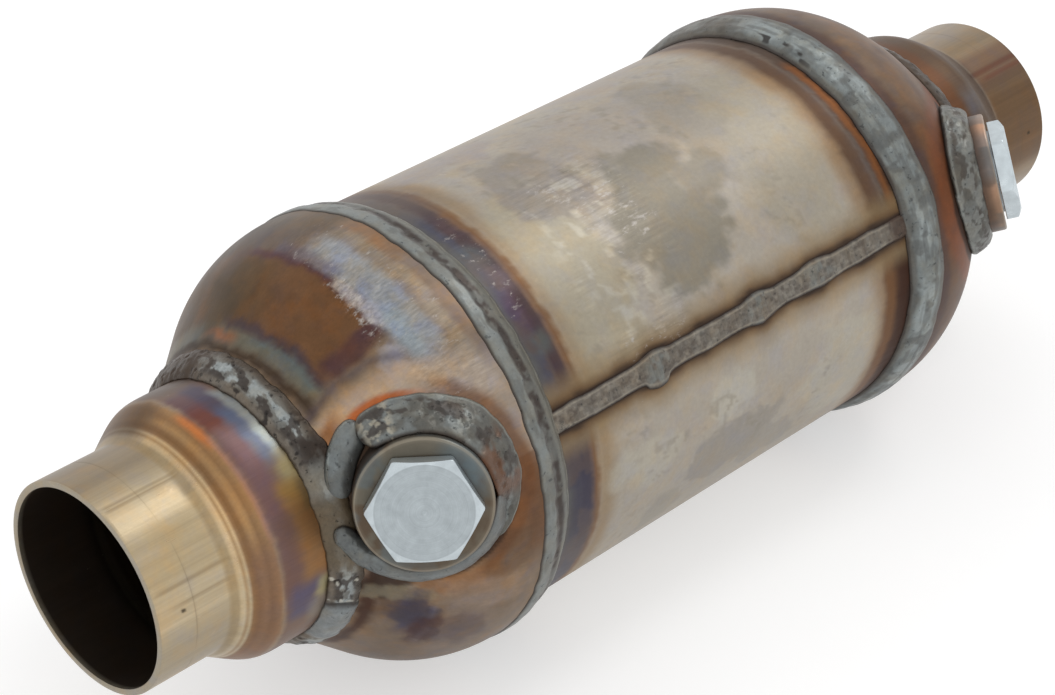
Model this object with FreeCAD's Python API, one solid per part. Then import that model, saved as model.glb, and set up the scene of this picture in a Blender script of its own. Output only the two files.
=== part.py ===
import FreeCAD, Part
import math
import os

# A round exhaust converter: a rolled shell around a ceramic brick, closed by two pressed domes.
# Each dome carries an expanded pipe neck and a sensor boss shut by a hexagon plug.
# Lengths are millimetres and angles are degrees. X runs along the axis from the centre of the
# inlet pipe's end towards the outlet, Z is up, and the two bosses and the seam face -Y.

# Pipe necks: a straight pipe end, a flare and a collar that enters the dome's mouth
pipe_outer_diameter = 50.0
pipe_wall = 1.5
pipe_straight_length = 19.0
flare_length = 9.5
flare_foot_radius = 2.0
flare_shoulder_radius = 4.0
collar_outer_diameter = 62.0
collar_length = 13.9
collar_insertion = 4.0

# Shell: a rolled sheet whose edges leave a narrow gap for the lengthwise seam weld
shell_outer_diameter = 102.0
shell_wall = 1.5
shell_length = 143.0
shell_overlap = 5.5
seam_azimuth = 67.5
seam_gap = 1.0

# Domes: a cone from the mouth, a large rounded corner and a straight skirt over the shell
dome_wall = 2.5
dome_cone_angle = 40.0
dome_corner_radius = 36.0
dome_skirt_length = 5.6
mouth_clearance = 0.1
skirt_clearance = 0.2

# Ceramic brick, the mat that grips it and the wire-mesh seals at the mat's ends
mat_thickness = 3.0
monolith_setback = 16.0
mat_setback = 7.0
mat_seal_width = 6.0

# Sensor bosses: turned rings that stand square on the dome's slope
boss_outer_diameter = 30.0
boss_height = 12.5
boss_stand_out = 7.0
inlet_boss_azimuth = 69.5
outlet_boss_azimuth = 68.5
boss_clearance = 0.1
boss_hole_spare_depth = 3.0
inlet_boss_distance = 16.1
outlet_boss_distance = 14.6

# Hexagon plugs
thread_diameter = 18.0
thread_clearance = 0.05
head_across_flats = 22.0
head_height = 4.2
head_chamfer_diameter = 21.2
head_chamfer_angle = 30.0
washer_face_diameter = 21.0
washer_face_height = 0.4
shank_length = 10.0
shank_end_chamfer = 1.2
inlet_head_turn = -13.0
outlet_head_turn = -11.5

# Weld beads: how far each one reaches over the two pieces that it joins, and its crown
neck_weld_on_collar = 2.4
neck_weld_on_dome = 4.6
neck_weld_crown = 1.8
shell_weld_on_skirt = 4.9
shell_weld_on_shell = 5.2
shell_weld_crown = 1.5
boss_weld_width = 5.8
boss_weld_below_rim = 2.2
boss_weld_crown = 1.5
boss_weld_gap_angle = 30.0
boss_weld_gap_centre = -14.0
seam_weld_width = 6.0
seam_weld_crown = 0.8

# Worked out from the sizes above
pipe_radius = pipe_outer_diameter / 2
collar_radius = collar_outer_diameter / 2
shell_radius = shell_outer_diameter / 2
shell_inner_radius = shell_radius - shell_wall
mouth_radius = collar_radius + mouth_clearance
skirt_radius = shell_radius + skirt_clearance + dome_wall
boss_radius = boss_outer_diameter / 2
cone_slope = math.tan(math.radians(dome_cone_angle))
corner_reach = dome_corner_radius * math.tan(math.radians(dome_cone_angle / 2))

mouth_x = pipe_straight_length + flare_length + collar_length
dome_corner_x = mouth_x + (skirt_radius - mouth_radius) / cone_slope
skirt_start_x = dome_corner_x + corner_reach
skirt_end_x = skirt_start_x + dome_skirt_length
shell_start_x = skirt_end_x - shell_overlap
overall_length = 2 * shell_start_x + shell_length
middle_x = overall_length / 2

ORIGIN = FreeCAD.Vector(0, 0, 0)
X_AXIS = FreeCAD.Vector(1, 0, 0)
Z_AXIS = FreeCAD.Vector(0, 0, 1)


def section_point(x, radius):
    """A point of a section drawn in the XZ plane, at a distance from the X axis."""
    return FreeCAD.Vector(x, 0, radius)


def polar(radius, angle):
    """X and Y of a point given by its radius and its angle in degrees."""
    return radius * math.cos(math.radians(angle)), radius * math.sin(math.radians(angle))


def line(start, end):
    """A straight edge between two points."""
    return Part.LineSegment(start, end).toShape()


def crowned_arc(start, end, crown):
    """An arc from start to end whose middle stands out from the chord, to the left of it."""
    chord = end - start
    outward = FreeCAD.Vector(-chord.z, 0, chord.x).normalize()
    return Part.Arc(start, (start + end) / 2 + outward * crown, end).toShape()


def turned(edges, axis=X_AXIS, angle=360):
    """A solid of revolution whose closed section is given by its edges."""
    face = Part.Face(Part.Wire(Part.__sortEdges__(edges)))
    return face.revolve(ORIGIN, axis, angle)


def rounded_path(corners):
    """Edges through (point, corner radius) pairs, each inner corner rounded by a tangent arc."""
    edges = []
    start = corners[0][0]
    for index in range(1, len(corners) - 1):
        corner, radius = corners[index]
        back = (corners[index - 1][0] - corner).normalize()
        ahead = (corners[index + 1][0] - corner).normalize()
        half_turn = (math.pi - back.getAngle(ahead)) / 2
        reach = radius * math.tan(half_turn)
        bisector = (back + ahead).normalize()
        middle = corner + bisector * (radius / math.cos(half_turn) - radius)
        edges.append(line(start, corner + back * reach))
        edges.append(Part.Arc(corner + back * reach, middle, corner + ahead * reach).toShape())
        start = corner + ahead * reach
    edges.append(line(start, corners[-1][0]))
    return edges


def moved_inwards(corners, wall):
    """The same path moved towards the X axis by a wall's thickness, with its radii to match."""
    points = [point for point, radius in corners]
    normals = []
    for start, end in zip(points, points[1:]):
        direction = (end - start).normalize()
        normals.append(FreeCAD.Vector(direction.z, 0, -direction.x))
    inner = [(points[0] + normals[0] * wall, 0)]
    for index in range(1, len(corners) - 1):
        before, after = normals[index - 1], normals[index]
        shift = (before + after) * (wall / (1 + before.dot(after)))
        bends_inwards = before.cross(after).y > 0
        radius = corners[index][1] - wall if bends_inwards else corners[index][1] + wall
        inner.append((points[index] + shift, radius))
    inner.append((points[-1] + normals[-1] * wall, 0))
    return inner


def turned_wall(corners, wall):
    """A turned sheet-metal wall whose outer surface follows the path."""
    inner = moved_inwards(corners, wall)
    edges = rounded_path(corners) + rounded_path(inner)
    edges.append(line(corners[0][0], inner[0][0]))
    edges.append(line(corners[-1][0], inner[-1][0]))
    return turned(edges)


def turned_core(corners):
    """The solid that fills a path all the way to the X axis."""
    first, last = corners[0][0], corners[-1][0]
    edges = rounded_path(corners)
    edges.append(line(first, section_point(first.x, 0)))
    edges.append(line(section_point(first.x, 0), section_point(last.x, 0)))
    edges.append(line(section_point(last.x, 0), last))
    return turned(edges)


def ring(outer_radius, inner_radius, start_x, end_x):
    """A plain tube about the X axis."""
    length = end_x - start_x
    start = FreeCAD.Vector(start_x, 0, 0)
    outer = Part.makeCylinder(outer_radius, length, start, X_AXIS)
    return outer.cut(Part.makeCylinder(inner_radius, length, start, X_AXIS))


def make_neck():
    """The pipe end, its flare and the collar, formed from one tube."""
    corners = [
        (section_point(0, pipe_radius), 0),
        (section_point(pipe_straight_length, pipe_radius), flare_foot_radius),
        (section_point(pipe_straight_length + flare_length, collar_radius), flare_shoulder_radius),
        (section_point(mouth_x + collar_insertion, collar_radius), 0),
    ]
    return turned_wall(corners, pipe_wall)


def dome_path(cone_start_radius):
    """The dome's outer surface, from a radius on its cone to the end of its skirt."""
    cone_start_x = mouth_x - (mouth_radius - cone_start_radius) / cone_slope
    return [
        (section_point(cone_start_x, cone_start_radius), 0),
        (section_point(dome_corner_x, skirt_radius), dome_corner_radius),
        (section_point(skirt_end_x, skirt_radius), 0),
    ]


def dome_surface(distance):
    """The dome's outer radius and slope angle at an axial distance from its mouth."""
    x = mouth_x + distance
    cone_end_x = skirt_start_x - polar(dome_corner_radius, 90 - dome_cone_angle)[0]
    if x <= cone_end_x:
        return mouth_radius + distance * cone_slope, dome_cone_angle
    slope = math.asin((skirt_start_x - x) / dome_corner_radius)
    drop = dome_corner_radius * (1 - math.cos(slope))
    return skirt_radius - drop, math.degrees(slope)


def boss_placement(distance, azimuth):
    """Where a boss stands: local Z is its axis, local X points along the dome to the neck."""
    radius, slope = dome_surface(distance)
    radial_z, radial_y = polar(1, azimuth)
    radial = FreeCAD.Vector(0, -radial_y, radial_z)
    along, across = polar(1, slope)
    axis = radial * along - X_AXIS * across
    to_neck = (X_AXIS * along + radial * across) * -1
    foot = radial * radius + X_AXIS * (mouth_x + distance)
    rotation = FreeCAD.Rotation(to_neck, axis.cross(to_neck), axis, "ZXY")
    return FreeCAD.Placement(foot, rotation)


def make_boss():
    """The threaded ring, with its foot at the origin and its axis along Z."""
    base = FreeCAD.Vector(0, 0, boss_stand_out - boss_height)
    body = Part.makeCylinder(boss_radius, boss_height, base)
    bore = Part.makeCylinder(thread_diameter / 2 + thread_clearance, boss_height, base)
    return body.cut(bore)


def make_plug(head_turn):
    """The hexagon plug, seated by its washer face on the boss's rim."""
    corner_radius = head_across_flats / 2 / math.cos(math.radians(30))
    head_base = boss_stand_out + washer_face_height
    head_top = head_base + head_height
    corners = []
    for index in range(7):
        corner_x, corner_y = polar(corner_radius, head_turn + 60 * index)
        corners.append(FreeCAD.Vector(corner_x, corner_y, head_base))
    head = Part.Face(Part.makePolygon(corners)).extrude(Z_AXIS * head_height)

    # The turned chamfer that takes the six corners off
    chamfer_slope = math.tan(math.radians(head_chamfer_angle))
    top_radius = head_chamfer_diameter / 2
    base_radius = top_radius + head_height / chamfer_slope
    cone_base = FreeCAD.Vector(0, 0, head_base)
    head = head.common(Part.makeCone(base_radius, top_radius, head_height, cone_base))

    face_base = FreeCAD.Vector(0, 0, boss_stand_out)
    washer_face = Part.makeCylinder(washer_face_diameter / 2, washer_face_height, face_base)
    tip_radius = thread_diameter / 2 - shank_end_chamfer
    shank_end = boss_stand_out - shank_length
    shank_foot = FreeCAD.Vector(0, 0, shank_end + shank_end_chamfer)
    shank = Part.makeCylinder(thread_diameter / 2, shank_length - shank_end_chamfer, shank_foot)
    tip_base = FreeCAD.Vector(0, 0, shank_end)
    tip = Part.makeCone(tip_radius, thread_diameter / 2, shank_end_chamfer, tip_base)
    return head.fuse([washer_face, shank, tip]).removeSplitter()


def make_neck_weld():
    """The bead in the corner between the collar and the dome's cone."""
    collar_toe = section_point(mouth_x - neck_weld_on_collar, collar_radius)
    mouth_foot = section_point(mouth_x, collar_radius)
    mouth_edge = section_point(mouth_x, mouth_radius)
    dome_toe_radius = dome_surface(neck_weld_on_dome)[0]
    dome_toe = section_point(mouth_x + neck_weld_on_dome, dome_toe_radius)
    edges = [
        crowned_arc(collar_toe, dome_toe, neck_weld_crown),
        line(dome_toe, mouth_edge),
        line(mouth_edge, mouth_foot),
        line(mouth_foot, collar_toe),
    ]
    return turned(edges)


def make_shell_weld():
    """The bead that runs over the end of the skirt down to the shell."""
    skirt_toe = section_point(skirt_end_x - shell_weld_on_skirt, skirt_radius)
    skirt_corner = section_point(skirt_end_x, skirt_radius)
    skirt_foot = section_point(skirt_end_x, shell_radius)
    shell_toe = section_point(skirt_end_x + shell_weld_on_shell, shell_radius)
    edges = [
        crowned_arc(skirt_toe, shell_toe, shell_weld_crown),
        line(shell_toe, skirt_foot),
        line(skirt_foot, skirt_corner),
        line(skirt_corner, skirt_toe),
    ]
    return turned(edges)


def make_boss_weld_run(start_angle, span):
    """One run of the bead round a boss, deep enough to be trimmed by the dome's surface."""
    toe_radius = boss_radius + boss_weld_width
    corner_drop = dome_corner_radius - math.sqrt(dome_corner_radius ** 2 - toe_radius ** 2)
    depth = corner_drop + dome_wall
    rim = section_point(boss_radius, boss_stand_out - boss_weld_below_rim)
    toe = section_point(toe_radius, -boss_weld_crown)
    root = section_point(boss_radius, -depth)
    deep_toe = section_point(toe_radius, -depth)
    edges = [
        crowned_arc(rim, toe, boss_weld_crown),
        line(toe, deep_toe),
        line(deep_toe, root),
        line(root, rim),
    ]
    run = turned(edges, Z_AXIS, span)
    run.rotate(ORIGIN, Z_AXIS, start_angle)
    return run


def make_end(boss_distance, boss_azimuth, head_turn):
    """All pieces of one end, by name, standing where the inlet end stands."""
    placement = boss_placement(boss_distance, boss_azimuth)
    neck = make_neck()

    # A cone that starts well inside the collar, so that the mouth is a clean round hole
    dome = turned_wall(dome_path(collar_radius - dome_wall), dome_wall)
    dome = dome.cut(Part.makeCylinder(mouth_radius, skirt_end_x, ORIGIN, X_AXIS))
    dome_core = turned_core(dome_path(mouth_radius))
    collar_core = Part.makeCylinder(collar_radius, mouth_x, ORIGIN, X_AXIS)

    boss = make_boss()
    hole_depth = boss_height + boss_hole_spare_depth
    hole_base = FreeCAD.Vector(0, 0, boss_stand_out - hole_depth)
    hole = Part.makeCylinder(boss_radius + boss_clearance, hole_depth, hole_base)
    plug = make_plug(head_turn)
    for piece in (boss, hole, plug):
        piece.Placement = placement
    dome = dome.cut(hole)

    neck_weld = make_neck_weld().cut(hole)
    span = 180 - boss_weld_gap_angle / 2
    upper = make_boss_weld_run(boss_weld_gap_centre - 180, span)
    lower = make_boss_weld_run(boss_weld_gap_centre + boss_weld_gap_angle / 2, span)
    pieces = {
        "neck": neck,
        "dome": dome,
        "boss": boss,
        "plug": plug,
        "neck_weld": neck_weld,
        "shell_weld": make_shell_weld(),
    }
    for name, run in (("boss_weld_upper", upper), ("boss_weld_lower", lower)):
        run.Placement = placement.multiply(run.Placement)
        pieces[name] = run.cut([dome_core, collar_core, neck_weld])
    return pieces


def make_shell_and_seam(shell_welds):
    """The rolled sheet, and the seam weld that fills its gap and crowns above it."""
    shell_end_x = shell_start_x + shell_length
    tube = ring(shell_radius, shell_inner_radius, shell_start_x, shell_end_x)
    corner = FreeCAD.Vector(shell_start_x, -seam_gap / 2, shell_inner_radius / 2)
    slot = Part.makeBox(shell_length, seam_gap, shell_radius, corner)
    root = tube.common(slot)

    bead_radius = (seam_weld_width ** 2 / 4 + seam_weld_crown ** 2) / (2 * seam_weld_crown)
    bead_length = overall_length - 2 * skirt_end_x
    bead_centre = shell_radius + seam_weld_crown - bead_radius
    bead_start = FreeCAD.Vector(skirt_end_x, 0, bead_centre)
    bead = Part.makeCylinder(bead_radius, bead_length, bead_start, X_AXIS)
    shell_core_start = FreeCAD.Vector(shell_start_x, 0, 0)
    bead = bead.cut(Part.makeCylinder(shell_radius, shell_length, shell_core_start, X_AXIS))
    shell = tube.cut(slot)
    seam = root.fuse(bead)
    for piece in (shell, seam):
        piece.rotate(ORIGIN, X_AXIS, seam_azimuth)
    return shell, seam.cut(shell_welds)


def make_filling():
    """The ceramic brick, its mat and the two mesh seals, by name."""
    brick_start = shell_start_x + monolith_setback
    brick_end = overall_length - brick_start
    mat_start = brick_start + mat_setback
    mat_end = overall_length - mat_start
    brick_radius = shell_inner_radius - mat_thickness
    start = FreeCAD.Vector(brick_start, 0, 0)
    brick = Part.makeCylinder(brick_radius, brick_end - brick_start, start, X_AXIS)
    inlet_seal_end = mat_start + mat_seal_width
    outlet_seal_start = mat_end - mat_seal_width
    return {
        "monolith": brick,
        "inlet_mat_seal": ring(shell_inner_radius, brick_radius, mat_start, inlet_seal_end),
        "support_mat": ring(shell_inner_radius, brick_radius, inlet_seal_end, outlet_seal_start),
        "outlet_mat_seal": ring(shell_inner_radius, brick_radius, outlet_seal_start, mat_end),
    }


nodes = make_filling()
inlet_end = make_end(inlet_boss_distance, inlet_boss_azimuth, inlet_head_turn)
outlet_end = make_end(outlet_boss_distance, outlet_boss_azimuth, outlet_head_turn)
for name, piece in inlet_end.items():
    nodes["inlet_" + name] = piece
for name, piece in outlet_end.items():
    nodes["outlet_" + name] = piece.mirror(FreeCAD.Vector(middle_x, 0, 0), X_AXIS)
shell_welds = [nodes["inlet_shell_weld"], nodes["outlet_shell_weld"]]
nodes["shell"], nodes["seam_weld"] = make_shell_and_seam(shell_welds)

os.makedirs("parts", exist_ok=True)
for name, piece in sorted(nodes.items()):
    piece.exportStep("parts/" + name + ".step")
    print(f"{name:24s} solids {len(piece.Solids)}  volume {piece.Volume / 1000:8.3f} cm3")
print(f"overall length {overall_length:.2f} mm")
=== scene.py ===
import itertools
import math

import bmesh
import bpy
import numpy as np
from mathutils import Matrix, Vector


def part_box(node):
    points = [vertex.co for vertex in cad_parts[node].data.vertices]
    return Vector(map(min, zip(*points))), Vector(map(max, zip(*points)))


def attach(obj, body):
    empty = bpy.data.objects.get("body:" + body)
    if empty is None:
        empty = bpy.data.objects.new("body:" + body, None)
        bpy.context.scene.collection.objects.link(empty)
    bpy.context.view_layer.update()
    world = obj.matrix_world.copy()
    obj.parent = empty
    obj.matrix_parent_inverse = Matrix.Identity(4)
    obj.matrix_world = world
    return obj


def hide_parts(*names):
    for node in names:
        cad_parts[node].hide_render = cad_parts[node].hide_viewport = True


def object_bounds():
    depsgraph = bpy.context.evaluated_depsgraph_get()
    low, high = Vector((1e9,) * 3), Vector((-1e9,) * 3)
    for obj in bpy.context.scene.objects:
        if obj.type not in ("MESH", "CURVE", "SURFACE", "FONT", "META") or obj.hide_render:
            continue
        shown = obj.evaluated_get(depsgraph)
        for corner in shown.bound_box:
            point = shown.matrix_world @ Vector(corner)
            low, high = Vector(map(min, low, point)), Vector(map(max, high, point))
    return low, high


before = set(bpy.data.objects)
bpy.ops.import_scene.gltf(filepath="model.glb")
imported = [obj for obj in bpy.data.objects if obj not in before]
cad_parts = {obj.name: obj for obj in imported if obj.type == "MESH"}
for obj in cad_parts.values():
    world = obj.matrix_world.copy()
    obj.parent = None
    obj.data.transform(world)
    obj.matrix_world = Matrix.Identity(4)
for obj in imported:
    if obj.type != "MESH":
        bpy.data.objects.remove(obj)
cad_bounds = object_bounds()

# Ceramic brick: an extruded cordierite honeycomb, washcoated grey-brown, that fills the shell.
# Its square channels show through the pipes. The body is turned, with a recess at each end
# that the channels fill.
MM = 0.001
channel_pitch = 1.5
channel_wall = 0.24
channel_depth = 5.0
channel_field_radius = 36.0
brick_chamfer = 0.4
brick_setback = 0.05


def node_box(node):
    """The lowest and highest corner of a CAD node, in mm."""
    low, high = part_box(node)
    return np.array(low) / MM, np.array(high) / MM


def mesh_piece(name, points, faces, sharp_angle=38):
    """A mesh object from points in mm and faces, smooth except over edges sharper than the angle."""
    mesh = bpy.data.meshes.new(name)
    mesh.from_pydata(points * MM, [], faces)
    mesh.shade_smooth()
    mesh.set_sharp_from_angle(angle=math.radians(sharp_angle))
    piece = bpy.data.objects.new(name, mesh)
    bpy.context.scene.collection.objects.link(piece)
    return piece


def join_ends(piece):
    """Merges points that lie together, so that poles and a bead's ends are closed."""
    shape = bmesh.new()
    shape.from_mesh(piece.data)
    bmesh.ops.remove_doubles(shape, verts=shape.verts, dist=1e-6)
    bmesh.ops.dissolve_degenerate(shape, edges=shape.edges, dist=1e-7)
    shape.to_mesh(piece.data)
    shape.free()
    piece.data.shade_smooth()


def grid_faces(rows, columns, wrap_rows=False, wrap_columns=False):
    """Four-sided faces over a grid of points, wound so that column direction x row direction
    points out. A wrapped direction joins its last points to its first."""
    index = np.arange(rows * columns).reshape(rows, columns)
    if wrap_rows:
        index = np.vstack((index, index[:1]))
    if wrap_columns:
        index = np.hstack((index, index[:, :1]))
    corners = (index[:-1, :-1], index[:-1, 1:], index[1:, 1:], index[1:, :-1])
    return np.stack(corners, axis=-1).reshape(-1, 4)


def placed_for(piece, node):
    """The piece rides with the converter and stands for its CAD node, which is hidden."""
    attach(piece, "root")
    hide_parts(node)


def round_points(station, radius, azimuth):
    """Points at a station along the axis, a radius, and an azimuth in degrees from +Z towards -Y."""
    angle = np.radians(azimuth)
    station, radius, angle = np.broadcast_arrays(station, radius, angle)
    return np.stack((station, -radius * np.sin(angle), radius * np.cos(angle)), axis=-1)


def turned_grid(path, azimuths):
    """Each (station, radius) point of the path, swept through the azimuths."""
    path = np.asarray(path, float)
    return round_points(path[:, 0, None], path[:, 1, None], azimuths[None, :])


class Wire:
    """A socket of a finish's nodes. Sums, differences and products of wires and numbers add
    Math nodes."""

    def __init__(self, tree, socket=None):
        self.tree, self.socket = tree, socket

    def node(self, kind, settings=None, feeds=None, output=0):
        """Adds a node: its settings first, then its sockets' values or wires. Gives one output."""
        made = self.tree.nodes.new("ShaderNode" + kind)
        for name, value in (settings or {}).items():
            if name == "stops":
                for place, tone in value[1:-1]:
                    made.color_ramp.elements.new(place)
                for element, (place, tone) in zip(made.color_ramp.elements, value):
                    element.position = place
                    element.color = (tone, tone, tone, 1)
            else:
                setattr(made, name, value)
        for name, value in (feeds or {}).items():
            if isinstance(value, Wire):
                self.tree.links.new(value.socket, made.inputs[name])
            else:
                made.inputs[name].default_value = value
        return Wire(self.tree, made.outputs[output] if made.outputs else None)

    def maths(self, operation, first, second):
        return self.node("Math", {"operation": operation}, {0: first, 1: second})

    def __add__(self, other):
        return self.maths("ADD", self, other)

    def __radd__(self, other):
        return self.maths("ADD", other, self)

    def __sub__(self, other):
        return self.maths("SUBTRACT", self, other)

    def __rsub__(self, other):
        return self.maths("SUBTRACT", other, self)

    def __mul__(self, other):
        return self.maths("MULTIPLY", self, other)

    def __rmul__(self, other):
        return self.maths("MULTIPLY", other, self)

    def noise(self, scale, detail=3.0, roughness=0.55):
        """Cloud noise around 0.5 that reads these coordinates."""
        return self.node("TexNoise", {}, {"Vector": self, "Scale": scale, "Detail": detail,
                                          "Roughness": roughness})

    def stretched(self, scale, turn=(0, 0, 0)):
        """These coordinates turned, and scaled along each axis."""
        return self.node("Mapping", {}, {"Vector": self, "Scale": scale, "Rotation": turn})

    def ramp(self, *stops):
        """A ramp of grey values: (place, value) pairs."""
        return self.node("ValToRGB", {"stops": stops}, {0: self})

    def rising(self, low, high):
        """0 where this is at or below low, 1 at or above high, and a straight rise between."""
        return self.ramp((0.0, 0.0), (low, 0.0), (high, 1.0), (1.0, 1.0))

    def dimmed(self, tone):
        """This colour times a tone."""
        return self.node("VectorMath", {"operation": "SCALE"}, {0: self, "Scale": tone})

    def times(self, *parts):
        """This colour or vector, with each of its three parts times a number."""
        return self.node("VectorMath", {"operation": "MULTIPLY"}, {0: self, 1: parts})

    def mixed(self, other, share):
        """This colour with a share of another one."""
        return self.node("Mix", {"data_type": "RGBA"}, {0: share, 6: self, 7: other}, 2)

    def between(self, first, second):
        """The colour between two tones of 0 to 255 steps: this share of the second one."""
        feeds = {0: self, 6: tuple(linear(*first)), 7: tuple(linear(*second))}
        return self.node("Mix", {"data_type": "RGBA"}, feeds, 2)


def new_finish(name):
    """An empty material, the wire that its nodes start from, and its Object coordinates."""
    material = bpy.data.materials.new(name)
    material.use_nodes = True
    material.node_tree.nodes.clear()
    start = Wire(material.node_tree)
    return material, start, start.node("TexCoord", output="Object")


def close_finish(start, colour, roughness, metallic, height, depth, **fixed):
    """Joins a finish's colour, gloss and relief to the shader. The depth of the relief is in mm."""
    normal = start.node("Bump", {}, {"Height": height, "Distance": depth * MM, "Strength": 1.0})
    feeds = {"Base Color": colour, "Roughness": roughness, "Metallic": metallic, "Normal": normal}
    feeds.update({name.replace("_", " "): value for name, value in fixed.items()})
    shader = start.node("BsdfPrincipled", {}, feeds)
    start.node("OutputMaterial", {}, {"Surface": shader})


def linear(red, green, blue, gloss=1.0):
    """A tone of 0 to 255 steps as linear light c: s / 12.92 up to s = 0.04045, and above it
    ((s + 0.055) / 1.055)^2.4. A gloss from 0 to 1 may follow it."""
    steps = np.array((red, green, blue)) / 255
    light = np.where(steps <= 0.04045, steps / 12.92, ((steps + 0.055) / 1.055) ** 2.4)
    return np.append(light, gloss)


brick_low, brick_high = node_box("monolith")
brick_radius = brick_high[2]
brick_ends = (brick_low[0], brick_high[0])
field_edge = channel_field_radius - channel_pitch
end_path = [(channel_depth, 0), (channel_depth, field_edge), (brick_setback, field_edge),
            (brick_setback, brick_radius - brick_chamfer),
            (brick_setback + brick_chamfer, brick_radius)]
body_path = [(brick_ends[0] + depth, radius) for depth, radius in end_path]
body_path += [(brick_ends[1] - depth, radius) for depth, radius in end_path[::-1]]
body_azimuths = np.arange(0, 360, 3.0)
brick_points = turned_grid(body_path, body_azimuths).reshape(-1, 3)
brick_faces = grid_faces(len(body_path), len(body_azimuths), wrap_columns=True)

# Each channel is a closed cup of wall, open outwards, and the cups fill the round field
steps = np.arange(-30, 31) * channel_pitch
channel_y, channel_z = [centre.ravel() for centre in np.meshgrid(steps, steps)]
inside = np.hypot(channel_y, channel_z) < channel_field_radius - channel_pitch / 2
centres = np.stack((np.zeros(inside.sum()), channel_y[inside], channel_z[inside]), axis=-1)
square = np.array(((-1, -1), (1, -1), (1, 1), (-1, 1))) / 2
cell_size, hole_size = channel_pitch - 0.01, channel_pitch - channel_wall
corner_rows = [(0, cell_size), (0, hole_size),
               (channel_depth - 0.1, hole_size), (channel_depth, cell_size)]
cup_corners = np.array([(depth, y * size, z * size)
                        for depth, size in corner_rows for y, z in square])
cup_faces = [(first + side, first + (side + 1) % 4, last + (side + 1) % 4, last + side)
             for first, last in ((0, 4), (4, 8), (12, 0)) for side in range(4)]
cup_faces = np.array(cup_faces + [(8, 9, 10, 11), (15, 14, 13, 12)])
for end_x, inward in zip(brick_ends, (1, -1)):
    cups = centres[:, None, :] + (cup_corners * (inward, 1, 1))[None] + (end_x, 0, 0)
    winding = cup_faces[:, ::-1] if inward > 0 else cup_faces
    first_points = np.arange(len(centres))[:, None, None] * len(cup_corners) + len(brick_points)
    brick_faces = np.vstack((brick_faces, (winding[None] + first_points).reshape(-1, 4)))
    brick_points = np.vstack((brick_points, cups.reshape(-1, 3)))
brick = mesh_piece("honeycomb_brick", brick_points, brick_faces, 30)
join_ends(brick)
placed_for(brick, "monolith")

brick_finish, start, place = new_finish("washcoated cordierite")
blotch = place.noise(90, 4).ramp((0.0, 0.0), (0.35, 0.1), (0.65, 0.9), (1.0, 1.0))
coat_grain = place.noise(2400, 3)
coat = blotch.between((118, 104, 88), (150, 136, 114)).dimmed(0.8 + coat_grain * 0.4)
close_finish(start, coat, 0.82 + coat_grain * 0.15, 0.0, coat_grain, 0.08)
brick.data.materials.append(brick_finish)


# Support mat and wire-mesh seals: the mat is a grey-green fibre sheet wrapped round the brick,
# and a ring of knitted steel wire shields each of its edges. Both stay the CAD's own rings.
mat_finish, start, place = new_finish("vermiculite fibre mat")
fibres = place.stretched((900, 260, 260)).noise(1.0, 5)
flakes = start.node("TexVoronoi", {}, {"Vector": place, "Scale": 620.0})
mat_colour = fibres.between((96, 98, 82), (172, 168, 142)).dimmed(0.75 + flakes * 0.5)
close_finish(start, mat_colour, 0.85 + fibres * 0.1, 0.0, fibres + flakes * 0.5, 0.3)

knit_finish, start, place = new_finish("knitted steel wire")
slanting = start.node("TexWave", {"wave_type": "BANDS", "bands_direction": "DIAGONAL"},
                      {"Vector": place, "Scale": 260.0, "Distortion": 3.0, "Detail": 1.0})
ringed = start.node("TexWave", {"wave_type": "RINGS", "rings_direction": "X"},
                    {"Vector": place, "Scale": 210.0, "Distortion": 2.5, "Detail": 1.0})
knit = slanting * 0.6 + ringed * 0.6
knit_colour = knit.between((58, 54, 50), (168, 160, 148))
close_finish(start, knit_colour, 0.55 - knit * 0.2, 0.4 + knit * 0.4, knit, 0.5)
for node, finish in (("support_mat", mat_finish), ("inlet_mat_seal", knit_finish),
                     ("outlet_mat_seal", knit_finish)):
    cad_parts[node].data.materials.clear()
    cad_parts[node].data.materials.append(finish)


# Shell: a sheet of stainless steel rolled to a tube, with its edges a narrow gap apart under the
# seam weld. The heat of the welds has left purple, brown and straw tints beside them.
shell_low, shell_high = node_box("shell")
shell_radius = 51.0
shell_inner_radius = 49.5
seam_azimuth = 67.5
seam_gap = 1.0
seam_half = 2.75
overall_length = cad_bounds[1][0] / MM


def grain(points, size, seed):
    """Smooth noise from -1 to 1: hashed values at the corners of cubes of the given size, in mm,
    blended between the corners with the weight 3t^2 - 2t^3."""
    cell = np.asarray(points, float) / size
    low = np.floor(cell).astype(np.int64)
    part = cell - low
    part = part * part * (3 - 2 * part)
    total = 0.0
    for corner in itertools.product((0, 1), repeat=3):
        key = (low + corner) @ np.array((73856093, 19349663, 83492791)) + seed * 40503
        key = (key ^ (key >> 13)) * 1274126177 & 0xFFFFFFFF
        key = ((key ^ (key >> 15)) * 2246822519) & 0xFFFFFFFF
        value = ((key ^ (key >> 16)) & 0xFFFF) / 32767.5 - 1
        total = total + value * np.where(corner, part, 1 - part).prod(axis=-1)
    return total


def rough(points, size, seed, octaves=3):
    """Noise from about -1 to 1 with finer octaves, each half the size and strength of the last."""
    total = sum(grain(points, size / 2 ** octave, seed + octave) / 2 ** octave
                for octave in range(octaves))
    return total / 1.4


def rise(value, start, end):
    """0 before start and 1 after end, with a smooth S between."""
    part = np.clip((value - start) / (end - start), 0, 1)
    return part * part * (3 - 2 * part)


def hump(value, start, end, soft):
    """1 between start and end and 0 outside, with soft edges."""
    return rise(value, start - soft, start + soft) * (1 - rise(value, end - soft, end + soft))


def line_at(value, centre, width):
    """1 on a thin line and 0 away from it."""
    return np.exp(-((value - centre) / width) ** 2)


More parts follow.
